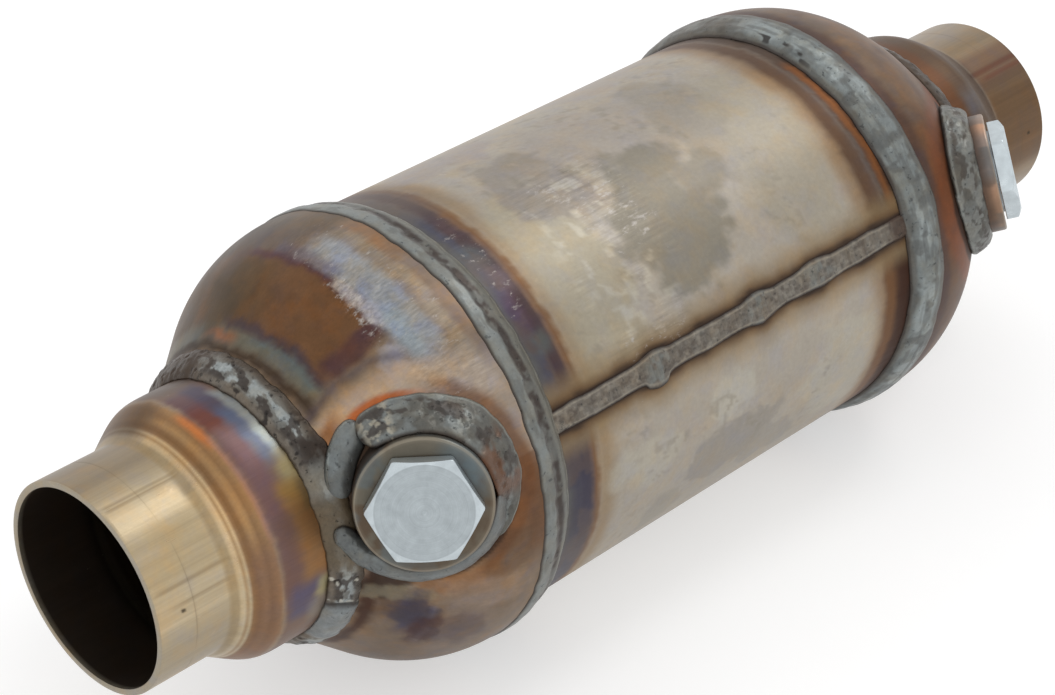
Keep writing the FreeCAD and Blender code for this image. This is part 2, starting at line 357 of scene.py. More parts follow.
def turned_from(azimuth, middle):
    """Degrees from a middle to an azimuth, the short way round."""
    return (azimuth - middle + 180) % 360 - 180


def angle_in(azimuth, low, high, soft):
    """1 between two azimuths and 0 outside, with soft edges, all the way round."""
    away = np.abs(turned_from(azimuth, (low + high) / 2))
    half = (high - low) / 2
    return 1 - rise(away, half - soft, half + soft)


def plain(shape, tone):
    """One tone over a grid of points of this shape."""
    return np.broadcast_to(linear(*tone), tuple(shape) + (4,)).copy()


def over(paint, mask, tone):
    """Paint with a tone laid over it where the mask is 1."""
    return paint + (linear(*tone) - paint) * np.asarray(mask)[..., None]


def round_places(points):
    """Station, azimuth in degrees and radius of points in mm."""
    return (points[..., 0], np.degrees(np.arctan2(-points[..., 1], points[..., 2])),
            np.hypot(points[..., 1], points[..., 2]))


def stained(points, station, azimuth, ground, stains, seed, waver=1.0):
    """Lays stains over a ground tone. Each stain is a soft-edged patch: its first and last station
    and their softness, its first and last azimuth and their softness, its tone and its strength.
    Noise moves the edges by up to about a millimetre and draws them out along the brushed lines."""
    fibres = points * (0.12, 1, 1)
    station = station + waver * (
        0.7 * rough(points, 9, seed) + 0.35 * grain(points, 2.2, seed + 7)
        + 0.3 * grain(fibres, 0.9, seed + 11) + 0.3 * grain(fibres, 2.4, seed + 13))
    azimuth = azimuth + waver * (2.2 * rough(points, 11, seed + 3)
                                 + 0.8 * grain(points, 2.5, seed + 9))
    spread = 1 + 0.9 * waver
    paint = plain(points.shape[:-1], ground)
    for first, last, soft, low, high, fade, tone, strength in stains:
        mask = hump(station, first, last, soft * spread) * angle_in(azimuth, low, high, fade)
        paint = over(paint, mask * strength, tone)
    return paint


def clouded(points, station, azimuth, paint, clouds, seed):
    """Lays ragged clouds over the paint. Each has a middle and half sizes in station and azimuth,
    the size of its ragged edge, the edge's softness, its tone and its strength."""
    for number, cloud in enumerate(clouds):
        middle, turn, half_length, half_turn, size, soft, tone, strength = cloud
        away = np.hypot((station - middle) / half_length, turned_from(azimuth, turn) / half_turn)
        edge = 1 - away + 0.55 * rough(points, size, seed + 5 * number, 4)
        paint = over(paint, rise(edge, -soft, soft) * strength, tone)
    return paint


def kept(piece, name, kind, values):
    """Keeps values for each point of the piece as an attribute."""
    attribute = piece.data.attributes.new(name, kind, "POINT")
    field = {"FLOAT_COLOR": "color", "FLOAT": "value", "FLOAT_VECTOR": "vector"}[kind]
    attribute.data.foreach_set(field, values.reshape(-1).astype(np.float32))


def finished(piece, finish, node, paint=None, worn=None):
    """Gives the piece its paint of colour and gloss, how worn it is, its finish and its place."""
    if paint is not None:
        kept(piece, "paint", "FLOAT_COLOR", paint)
    if worn is not None:
        kept(piece, "worn", "FLOAT", worn)
    piece.data.materials.append(finish)
    placed_for(piece, node)


def own_points(piece):
    """The mesh's points in mm."""
    flat = np.empty(len(piece.data.vertices) * 3, np.float32)
    piece.data.vertices.foreach_get("co", flat)
    return flat.reshape(-1, 3).astype(float) / MM


def attribute(start, name, part):
    """One part of what the piece's points keep under this name."""
    return start.node("Attribute", {"attribute_name": name}, output=part)


def steel_finish(name, line_scale, line_share, grime_share, speck_share, cast_share):
    """Formed stainless steel: the paint with gold and blue casts, grime, specks, fine drawn lines
    that are long in the direction of the smallest line scale, sparse scratches, and pale flakes
    where the piece is worn."""
    material, start, place = new_finish(name)
    paint, gloss = [attribute(start, "paint", part) for part in ("Color", "Alpha")]
    grime = place.noise(95, 6, 0.62)
    specks = place.noise(900, 4, 0.65)
    lines = place.stretched(line_scale).noise(1.0, 4, 0.6)
    nicks = place.stretched((260, 90, 900), (0.5, 0.3, 0.9)).noise(1.0, 5, 0.7).rising(0.64, 0.72)
    gold_share = place.noise(130, 4, 0.6).rising(0.46, 0.66)
    blue_share = place.noise(173, 4, 0.6).rising(0.48, 0.68)
    colour = paint.mixed(paint.times(1.16, 0.98, 0.74), gold_share * cast_share)
    colour = colour.mixed(paint.times(0.86, 0.93, 1.18), blue_share * cast_share)
    flakes = place.stretched((380, 750, 750)).noise(1.0, 6, 0.7)
    worn = attribute(start, "worn", "Fac")
    bare = (flakes + worn * 0.26).rising(0.70, 0.86)
    colour = colour.mixed(tuple(linear(178, 172, 166)), bare * 0.85)
    tone = 1 + (grime - 0.5) * grime_share + (specks - 0.5) * speck_share
    tone = tone + (lines - 0.5) * (worn * 1.5 + line_share)
    tone = tone + nicks * 0.12
    roughness = 0.78 - gloss * 0.56 + (grime - 0.5) * 0.16 + (lines - 0.5) * 0.12
    relief = specks * 0.5 + lines * 0.8 - nicks * 0.3
    close_finish(start, colour.dimmed(tone), roughness, 0.45 + gloss * 0.5, relief, 0.02,
                 Specular_IOR_Level=0.25)
    return material


FULL = (-200, 200, 1)
shell_stains = [
    (70, 95.0, 0.6, *FULL, (84, 84, 84, 0.55), 0.95),
    (94.0, 97.4, 0.7, *FULL, (80, 77, 78, 0.55), 0.9),
    (94.4, 97.6, 0.7, 2, 62, 4, (72, 72, 86, 0.6), 0.8),
    (97.0, 101.6, 0.6, *FULL, (64, 48, 54, 0.5), 0.95),
    (94.2, 99.6, 0.9, 17, 25, 3, (92, 98, 96, 0.6), 0.6),
    (96.4, 100.6, 0.8, 26, 33, 3, (104, 92, 96, 0.6), 0.7),
    (94.6, 98.2, 0.8, 33, 44, 3, (84, 66, 84, 0.55), 0.7),
    (95.4, 100.4, 0.9, 45, 51, 2, (92, 98, 92, 0.6), 0.65),
    (97.8, 101.2, 0.8, 4, 14, 3, (88, 70, 74, 0.55), 0.6),
    (101.3, 103.6, 0.5, *FULL, (104, 64, 38, 0.5), 0.92),
    (103.2, 108.6, 2.0, *FULL, (140, 116, 82, 0.5), 0.8),
    (93, 105, 2.5, -150, 0, 7, (104, 90, 82, 0.5), 0.6),
    (94.2, 101.0, 1.0, 72, 104, 5, (62, 60, 74, 0.55), 0.85),
    (94.2, 101.0, 1.2, 104, 150, 5, (74, 72, 82, 0.55), 0.8),
    (198.6, 206.0, 2.6, 4, 52, 9, (150, 128, 100, 0.5), 0.7),
    (201.6, 207.6, 2.0, *FULL, (134, 106, 74, 0.5), 0.78),
    (206.0, 217.0, 1.0, 58, 68, 3, (56, 32, 18, 0.45), 0.9),
    (205.6, 211.4, 0.9, *FULL, (82, 56, 38, 0.5), 0.9),
    (210.0, 213.2, 0.6, 6, 60, 5, (84, 76, 74, 0.55), 0.35),
    (211.2, 218.0, 0.6, *FULL, (70, 50, 38, 0.5), 0.9),
    (212.4, 215.2, 0.5, 10, 60, 4, (124, 76, 38, 0.55), 0.85),
    (205.6, 210.4, 0.8, 74, 140, 5, (108, 74, 44, 0.5), 0.9),
    (209.6, 218.0, 0.8, 74, 140, 5, (58, 30, 14, 0.45), 0.95),
    # Painted shadow: a dark band on the shell at the toe of the outlet's shell weld.
    (214.8, 226.0, 0.4, *FULL, (36, 27, 23, 0.4), 0.95),
]
shell_clouds = [
    (115, 36, 12, 34, 9, 0.2, (160, 152, 133, 0.5), 0.8),
    (127, 8, 13, 15, 10, 0.14, (144, 136, 127, 0.5), 0.8),
    (155, 0, 24, 16, 7, 0.2, (160, 152, 144, 0.5), 0.6),
    (177, 12, 9, 24, 9, 0.14, (146, 139, 128, 0.5), 0.65),
    (148, 35, 15, 23, 8, 0.16, (130, 124, 111, 0.5), 0.85),
    (190, 30, 14, 34, 12, 0.25, (158, 150, 134, 0.5), 0.75),
    (166, 28, 9, 6, 5, 0.3, (136, 129, 116, 0.5), 0.85),
    (122, -22, 14, 10, 8, 0.2, (156, 146, 140, 0.5), 0.6),
    (178, -28, 20, 10, 8, 0.2, (160, 150, 142, 0.5), 0.6),
    (150, 104, 15, 9, 7, 0.08, (146, 140, 132, 0.5), 0.75),
    (168, 112, 12, 8, 6, 0.08, (150, 144, 135, 0.5), 0.7),
    (130, 116, 6, 8, 6, 0.10, (150, 144, 132, 0.5), 0.6),
    (120, 92, 12, 8, 9, 0.2, (176, 170, 156, 0.5), 0.6),
    (190, 100, 14, 16, 9, 0.2, (176, 170, 156, 0.5), 0.6),
    (148, 88, 8, 6, 5, 0.2, (182, 177, 164, 0.5), 0.6),
    (120, 200, 18, 30, 12, 0.2, (148, 140, 130, 0.5), 0.7),
    (170, 240, 26, 34, 14, 0.2, (150, 142, 132, 0.5), 0.7),
    (140, 290, 20, 24, 11, 0.2, (178, 170, 156, 0.5), 0.6),
]


def seam_half_width(station):
    """Half of the seam weld's width along the shell: w = 2.75 mm + the sum over the bulges of
    extra * exp(-((station - centre) / reach)^2)."""
    bulges = ((125.5, 4.0, 1.25), (161.0, 4.0, 1.2), (182.0, 6.0, 0.9), (143.0, 5.0, 0.3),
              (200.0, 5.0, 0.35))
    return seam_half + sum(extra * line_at(station, centre, reach)
                           for centre, reach, extra in bulges)


def shell_paint(points):
    """Warm grey steel with the tints of the round welds at both ends and of the seam weld, and
    painted shadow lines beside the seam and at the outlet weld's toe.
    """
    station, azimuth, radius = round_places(points)
    paint = stained(points, station, azimuth, (166, 158, 146, 0.5), shell_stains, 11)

    # Cloudy tints in the purple band, and ragged patches where the sheet was handled
    tints = rise(rough(points * (1, 0.5, 0.5), 5, 21, 4), -0.02, 0.2)
    tints = hump(station, 93.5, 102.5, 0.8) * tints
    paint = over(paint, tints * 0.5, (92, 78, 72, 0.6))
    away_from_ends = hump(station, 106, 203, 3)
    clouds = clouded(points, station, azimuth, paint, shell_clouds, 601)
    paint = paint + (clouds - paint) * away_from_ends[..., None]
    scuffs = rise(rough(points * (1, 0.6, 1), 2.4, 25, 4), 0.16, 0.3) * hump(station, 116, 140, 5)
    paint = over(paint, scuffs * hump(azimuth, 8, 62, 6) * 0.6, (180, 174, 160, 0.55))
    stipple = rise(rough(points, 1.7, 27, 2), 0.22, 0.4) * rise(rough(points, 13, 29), -0.1, 0.35)
    paint = over(paint, stipple * away_from_ends * 0.5, (140, 133, 120, 0.5))

    # Beside the seam: a thin dark line of painted shadow at the bead's edge, then heat tints, a brown
    # fringe and straw
    across = np.abs(turned_from(azimuth, seam_azimuth)) * math.pi / 180 * shell_radius
    beside = (across - seam_half_width(station)
              + 0.35 * grain(points, 3, 41) + 0.5 * rough(points, 9, 43))
    outside = radius > shell_radius - 0.3
    paint = over(paint, (1 - rise(beside, 1.8, 8.5)) * 0.75 * outside, (136, 116, 86, 0.5))
    paint = over(paint, (1 - rise(beside, 0.7, 3.6)) * 0.85 * outside, (98, 74, 50, 0.5))
    # Painted shadow: the thin dark line along the seam bead's edges.
    paint = over(paint, (1 - rise(beside, 0.2, 1.3)) * 0.92 * outside, (46, 35, 30, 0.45))
    return over(paint, 1 - outside, (98, 84, 70, 0.4))


def shell_worn(points):
    """Rubbed places: in the purple band at the top, and where the sheet was handled in the middle."""
    station, azimuth, radius = round_places(points)
    band = hump(station, 94.5, 101.0, 1.2) * hump(azimuth, 2, 42, 6)
    middle = hump(station, 114, 146, 6) * hump(azimuth, 6, 64, 8)
    middle = middle * rise(rough(points, 12, 35), -0.2, 0.4)
    return (band * 0.45 + middle * 0.7) * (radius > shell_radius - 0.3)


shell_stations = np.linspace(shell_low[0], shell_high[0], 145)
shell_path = ([(x, shell_radius) for x in shell_stations]
              + [(x, shell_inner_radius) for x in np.linspace(shell_high[0], shell_low[0], 12)])
half_gap = math.degrees(seam_gap / 2 / shell_radius)
shell_azimuths = np.linspace(seam_azimuth + half_gap, seam_azimuth + 360 - half_gap, 401)
shell_grid = turned_grid(shell_path, shell_azimuths)

# Rolling leaves the sheet a few hundredths of a millimetre out of round
waver = 0.04 * rough(shell_grid, 45, 5, 2)
shell_grid[..., 1:] *= (1 + waver / shell_radius)[..., None]
rows, columns = shell_grid.shape[:2]
shell_faces = [tuple(face) for face in grid_faces(rows, columns, wrap_rows=True)]

# Each cut edge of the rolled sheet is one many-sided face down the whole length
edge = np.arange(rows) * columns
shell_faces += [tuple(edge.tolist()), tuple((edge + columns - 1)[::-1].tolist())]
shell = mesh_piece("rolled_shell", shell_grid.reshape(-1, 3), shell_faces, 50)
sheet_finish = steel_finish("rolled stainless sheet", (90, 900, 900), 0.10, 0.34, 0.26, 0.35)
finished(shell, sheet_finish, "shell",
         shell_paint(own_points(shell)), shell_worn(own_points(shell)))


# Domes: stainless steel pressings, a cone from the mouth that rounds into a straight skirt over
# the shell. A round hole takes the sensor boss. The welds have tinted them bronze and blue.
mouth_station = 42.4
mouth_radius = 31.1
dome_wall = 2.5
cone_angle = 40.0
corner_radius = 36.0
skirt_radius = 53.7
skirt_start = 82.432
skirt_end = 88.032
melted_edge = 2.6
hole_radius = 15.1
hole_reach = 9


def dome_outline(count):
    """Stations and radii along the dome's outer surface: the cone, the rounded corner, the skirt."""
    cone_end = skirt_start - corner_radius * math.sin(math.radians(cone_angle))
    cone = [(x, mouth_radius + (x - mouth_station) * math.tan(math.radians(cone_angle)))
            for x in np.linspace(mouth_station, cone_end, count // 3, endpoint=False)]
    turn = np.radians(np.linspace(cone_angle, 0, count // 2))
    corner = [(skirt_start - corner_radius * math.sin(angle),
               skirt_radius - corner_radius * (1 - math.cos(angle))) for angle in turn]
    skirt_stations = np.linspace(skirt_start, skirt_end - melted_edge, count // 8)[1:]
    skirt = [(x, skirt_radius) for x in skirt_stations]
    return np.array(cone + corner + skirt + [(skirt_end, skirt_radius - melted_edge * 0.65)])


def moved_in(outline, distance):
    """The outline moved square to itself towards the axis."""
    along = np.gradient(outline, axis=0)
    along /= np.hypot(along[:, 0], along[:, 1])[:, None]
    return outline + np.stack((along[:, 1], -along[:, 0]), axis=-1) * distance


def boss_frame(foot_station, azimuth):
    """The boss's foot on the dome, and its local directions: to the neck, down the side, and out."""
    foot_radius = np.interp(foot_station, *dome_outline(240).T)
    slope = math.radians(cone_angle)
    if foot_station > skirt_start - corner_radius * math.sin(slope):
        slope = math.asin((skirt_start - foot_station) / corner_radius)
    radial = round_points(0.0, 1.0, azimuth)
    axial = np.array((1.0, 0, 0))
    out = radial * math.cos(slope) - axial * math.sin(slope)
    to_neck = -(axial * math.cos(slope) + radial * math.sin(slope))
    foot = radial * foot_radius + axial * foot_station
    return foot, np.stack((to_neck, np.cross(out, to_neck), out))


boss_stand = {"inlet": boss_frame(58.5, 69.5), "outlet": boss_frame(57.0, 68.5)}


def end_points(points, end):
    """Points of one end's piece, drawn as for the inlet: the outlet's are mirrored lengthwise."""
    if end == "outlet":
        points = points * (-1, 1, 1) + (overall_length, 0, 0)
    return points


def boss_places(points, end):
    """Distance from the boss's axis, and local angle in degrees: 0 towards the neck, 90 downwards."""
    foot, directions = boss_stand[end]
    local = (points - foot) @ directions.T
    along, down = local[..., 0], local[..., 1]
    return np.hypot(along, down), np.degrees(np.arctan2(down, along))


inlet_dome_stains = [
    (66.5, 76.0, 1.5, -90, -8, 8, (88, 77, 71, 0.6), 0.85),
    (75.0, 90.0, 1.5, -90, -4, 8, (92, 77, 60, 0.6), 0.85),
    (47.0, 90.0, 1.2, -130, -28, 9, (57, 45, 29, 0.55), 0.92),
    (48.8, 52.6, 0.5, -60, 30, 5, (98, 96, 84, 0.65), 0.85),
    (49.4, 51.0, 0.4, -28, -10, 3, (138, 88, 56, 0.65), 0.8),
    (50.6, 52.8, 0.5, -4, 28, 4, (88, 98, 98, 0.7), 0.8),
    (52.2, 67.2, 0.6, -40, 28, 3, (105, 74, 49, 0.62), 0.97),
    (52.2, 66.0, 1.5, -40, -10, 8, (84, 66, 42, 0.6), 0.7),
    (51.8, 53.4, 0.4, -20, 29, 4, (62, 54, 62, 0.6), 0.75),
    (65.6, 67.6, 0.5, -32, 28, 3, (78, 50, 54, 0.62), 0.9),
    (54.0, 67.0, 0.9, 23, 29.5, 1.5, (78, 52, 52, 0.6), 0.8),
    (67.4, 75.6, 0.8, -6, 38, 5, (142, 144, 146, 0.85), 0.95),
    (67.2, 70.0, 0.8, -14, 6, 4, (96, 82, 88, 0.65), 0.7),
    (66.4, 71.5, 0.9, 23, 37, 3, (140, 150, 156, 0.85), 0.7),
    (75.6, 90.0, 1.2, -4, 55, 6, (143, 131, 116, 0.68), 0.85),
    (79.0, 90.0, 0.6, -6, 14, 4, (134, 98, 68, 0.62), 0.7),
    (79.6, 90.0, 0.6, 14, 60, 8, (112, 92, 78, 0.6), 0.7),
    (75.0, 90.0, 1.0, 62, 92, 6, (116, 84, 60, 0.62), 0.8),
    (78.6, 90.0, 0.6, 60, 96, 6, (96, 68, 48, 0.6), 0.7),
    (49.6, 54.6, 0.8, 96, 116, 5, (92, 76, 66, 0.6), 0.85),
    (53.8, 58.4, 0.7, 104, 124, 4, (66, 62, 80, 0.62), 0.9),
    (58.2, 61.2, 0.6, 108, 128, 4, (62, 46, 50, 0.6), 0.85),
    (59.0, 60.2, 0.35, 108, 127, 3, (148, 138, 138, 0.75), 0.8),
    (61.0, 72.0, 1.5, 100, 134, 5, (128, 112, 100, 0.65), 0.7),
    (56.0, 73.0, 1.5, 94, 102, 2.5, (142, 102, 68, 0.65), 0.7),
    (47.0, 49.6, 0.5, 92, 150, 8, (64, 40, 30, 0.5), 0.92),
    (47.0, 49.0, 0.5, -60, 34, 7, (58, 44, 32, 0.5), 0.92),
    (52.0, 80.0, 3.0, 134, 320, 14, (98, 78, 60, 0.6), 0.7),
    (64.0, 69.0, 1.5, 140, 310, 14, (78, 60, 62, 0.6), 0.6),
]
inlet_dome_clouds = [
    (50.5, 99, 4, 7, 3, 0.3, (54, 41, 34, 0.5), 0.85),
    (54, 103, 7, 3.5, 3, 0.3, (130, 122, 104, 0.65), 0.6),
    (56, 111, 4, 8, 4, 0.3, (68, 62, 72, 0.62), 0.8),
    (59.5, 120, 3, 8, 4, 0.25, (68, 44, 44, 0.6), 0.8),
    (66, 119, 6, 8, 5, 0.3, (88, 72, 68, 0.6), 0.6),
    (70, 104, 9, 6, 6, 0.4, (142, 124, 108, 0.66), 0.6),
    (74, 92, 5, 6, 5, 0.3, (98, 76, 58, 0.6), 0.6),
    (76, 72, 2.5, 12, 5, 0.3, (146, 108, 76, 0.64), 0.55),
    (73, 56, 5, 8, 6, 0.4, (140, 124, 112, 0.66), 0.6),
    (57, -28, 7, 9, 6, 0.5, (74, 60, 42, 0.6), 0.7),
    (66.6, 17, 1.5, 9, 3, 0.3, (178, 172, 166, 0.85), 0.65),
    (64.2, 34, 3.0, 4, 3, 0.3, (148, 144, 146, 0.8), 0.75),
    (70, -30, 7, 8, 6, 0.5, (88, 74, 66, 0.6), 0.7),
    (60, 200, 9, 30, 9, 0.4, (84, 66, 50, 0.6), 0.6),
    (72, 250, 8, 30, 9, 0.4, (120, 100, 84, 0.6), 0.6),
]
outlet_dome_clouds = [
    (72, 20, 5, 22, 6, 0.4, (122, 100, 80, 0.64), 0.6),
    (62, -10, 7, 20, 7, 0.4, (84, 62, 46, 0.6), 0.6),
    (76, 58, 4, 12, 5, 0.3, (126, 80, 46, 0.62), 0.6),
    (70, 105, 8, 16, 6, 0.4, (84, 60, 44, 0.6), 0.6),
    (66, 180, 9, 36, 9, 0.4, (120, 98, 80, 0.6), 0.6),
    (70, 260, 8, 30, 9, 0.4, (80, 62, 54, 0.6), 0.6),
]
outlet_dome_stains = [
    (30, 51.0, 1.2, *FULL, (108, 74, 50, 0.6), 0.85),
    (51.0, 54.0, 1.0, *FULL, (84, 72, 72, 0.6), 0.7),
    (58.0, 68.0, 3.0, -60, 60, 12, (104, 82, 64, 0.65), 0.6),
    (79.4, 84.0, 0.8, *FULL, (78, 60, 54, 0.55), 0.85),
    (75.0, 79.6, 1.2, -60, 46, 8, (108, 92, 78, 0.6), 0.7),
    (75.0, 80.0, 1.2, 46, 90, 8, (100, 68, 42, 0.6), 0.8),
    (68.0, 76.0, 1.2, 20, 60, 9, (98, 66, 42, 0.62), 0.6),
    (66.0, 80.0, 3.0, 120, 300, 16, (106, 84, 68, 0.6), 0.6),
]


def dome_paint(points, end):
    """Bronze-brown steel with the tints of the neck weld, the shell weld and the boss weld."""
    points = end_points(points, end)
    station, azimuth, radius = round_places(points)
    if end == "inlet":
        ground, stains, clouds, seed = (122, 104, 86, 0.6), inlet_dome_stains, inlet_dome_clouds, 51
    else:
        ground, stains, clouds, seed = (98, 76, 60, 0.6), outlet_dome_stains, outlet_dome_clouds, 77
    paint = stained(points, station, azimuth, ground, stains, seed)
    paint = clouded(points, station, azimuth, paint, clouds, 651)
    from_boss, turn = boss_places(points, end)
    from_boss = from_boss + 0.8 * rough(points, 8, 61)
    upper = 1 - rise(turn, -50, -10) * (1 - rise(turn, 165, 200))
    if end == "inlet":
        cream = hump(from_boss, 21.8, 27.5, 1.6) * upper * hump(azimuth, 34, 52, 4)
        paint = over(paint, cream * 0.85, (176, 152, 126, 0.75))
        beige = hump(from_boss, 20.0, 31.0, 3.0) * upper * rise(azimuth, 36, 44)
        paint = over(paint, beige * 0.8, (160, 148, 136, 0.72))
        cool = line_at(from_boss, 28.6, 0.9) * upper * hump(azimuth, 24, 40, 4)
        paint = over(paint, cool * (1 - rise(station, 64, 70)) * 0.5, (72, 64, 74, 0.62))
        orange = hump(from_boss, 19.6, 22.3, 0.5) * upper * (1 - rise(station, 60, 68))
        paint = over(paint, orange * 0.95, (162, 90, 48, 0.65))
        gold = hump(from_boss, 21.6, 25.5, 1.2) * upper * (1 - rise(station, 48.5, 53))
        paint = over(paint, gold * 0.9, (132, 84, 40, 0.65))
        brown = hump(from_boss, 18.0, 24.0, 1.2) * rise(station, 64, 72)
        paint = over(paint, brown * 0.75, (104, 68, 42, 0.6))
    else:
        orange = hump(from_boss, 18.0, 25.5, 1.6)
        paint = over(paint, orange * 0.85, (112, 64, 36, 0.6))
    dark = hump(from_boss, 10.0, 20.6, 0.5)
    paint = over(paint, dark * 0.85, (46, 33, 25, 0.45))
    paint[..., :3] *= (1 + 0.14 * rough(points, 2.6, 67, 4))[..., None]
    depth = np.interp(station, *dome_outline(240).T) - radius
    return over(paint, rise(depth, 0.6, 1.2), (74, 60, 50, 0.35))


def dome_worn(points, end):
    """The inlet dome is rubbed bare along the edge of its brown oval, above the boss."""
    station, azimuth, _ = round_places(points)
    edge = hump(station + (azimuth - 17) * 0.12, 63.6, 68.2, 1.0) * hump(azimuth, 5, 28, 3)
    scuffs = hump(station, 66, 80, 1.5) * hump(azimuth, -14, 54, 6) * 0.42
    return np.maximum(edge * 0.75, scuffs) * (end == "inlet")


def cut_by(piece, cutter):
    """The piece with the cutter's shape taken out of it."""
    trim = piece.modifiers.new("hole", "BOOLEAN")
    trim.object, trim.operation, trim.solver = cutter, "DIFFERENCE", "EXACT"
    evaluated = piece.evaluated_get(bpy.context.evaluated_depsgraph_get())
    cut = bpy.data.meshes.new_from_object(evaluated)
    piece.modifiers.clear()
    piece.data = cut
    bpy.data.objects.remove(cutter)


dome_finish = steel_finish("pressed stainless steel", (110, 1700, 1700), 0.34, 0.40, 0.24, 0.8)
for end in ("inlet", "outlet"):
    outline = dome_outline(78)
    inner = moved_in(outline, dome_wall)[::-1]
    inner = inner[inner[:, 0] > mouth_station - 0.001]
    inner = np.vstack((inner[::3], [(mouth_station + 0.6, mouth_radius - 1.6)]))
    dome_grid = turned_grid(np.vstack((outline, inner)), np.arange(0, 360, 0.8))
    foot, directions = boss_stand[end]
    turn = np.radians(np.arange(0, 360, 7.5))
    ring = np.stack((np.cos(turn), np.sin(turn), 0 * turn), axis=-1) * hole_radius
    cutter_points = np.vstack([foot + (ring * share + (0, 0, side * hole_reach)) @ directions
                               for side, share in ((-1, 0), (-1, 1), (1, 1), (1, 0))])
    dome_points = dome_grid.reshape(-1, 3)
    faces = grid_faces(*dome_grid.shape[:2], wrap_rows=True, wrap_columns=True)
    cutter_faces = grid_faces(4, len(turn), wrap_columns=True)
    if end == "outlet":
        dome_points, faces = end_points(dome_points, end), faces[:, ::-1]
        cutter_points = end_points(cutter_points, end)
    else:
        cutter_faces = cutter_faces[:, ::-1]
    dome = mesh_piece(f"{end}_pressed_dome", dome_points, faces, 50)
    cutter = mesh_piece("hole_cutter", cutter_points, cutter_faces)
    cut_by(dome, cutter)
    finished(dome, dome_finish, f"{end}_dome",
             dome_paint(own_points(dome), end), dome_worn(own_points(dome), end))


# Pipe necks: drawn stainless tube, expanded by a flare to a collar that enters the dome's mouth.
# The pipe end keeps its straw steel colour; the collar is tinted by the neck weld.
pipe_radius = 25.0
pipe_wall = 1.5
flare_start = 19.0
flare_end = 28.5
collar_radius = 31.0
neck_end = 46.4


def neck_outline(radius_change, stations):
    """The tube's radius at each station: a straight pipe, a flare with rounded corners, a collar."""
    foot, shoulder = 2.4, 2.0
    slope = (collar_radius - pipe_radius) / (flare_end - flare_start)
    climb = np.logaddexp(0, (stations - flare_start) * foot) / foot
    level = np.logaddexp(0, (stations - flare_end) * shoulder / 2) / shoulder * 2
    return pipe_radius + radius_change + slope * (climb - level)


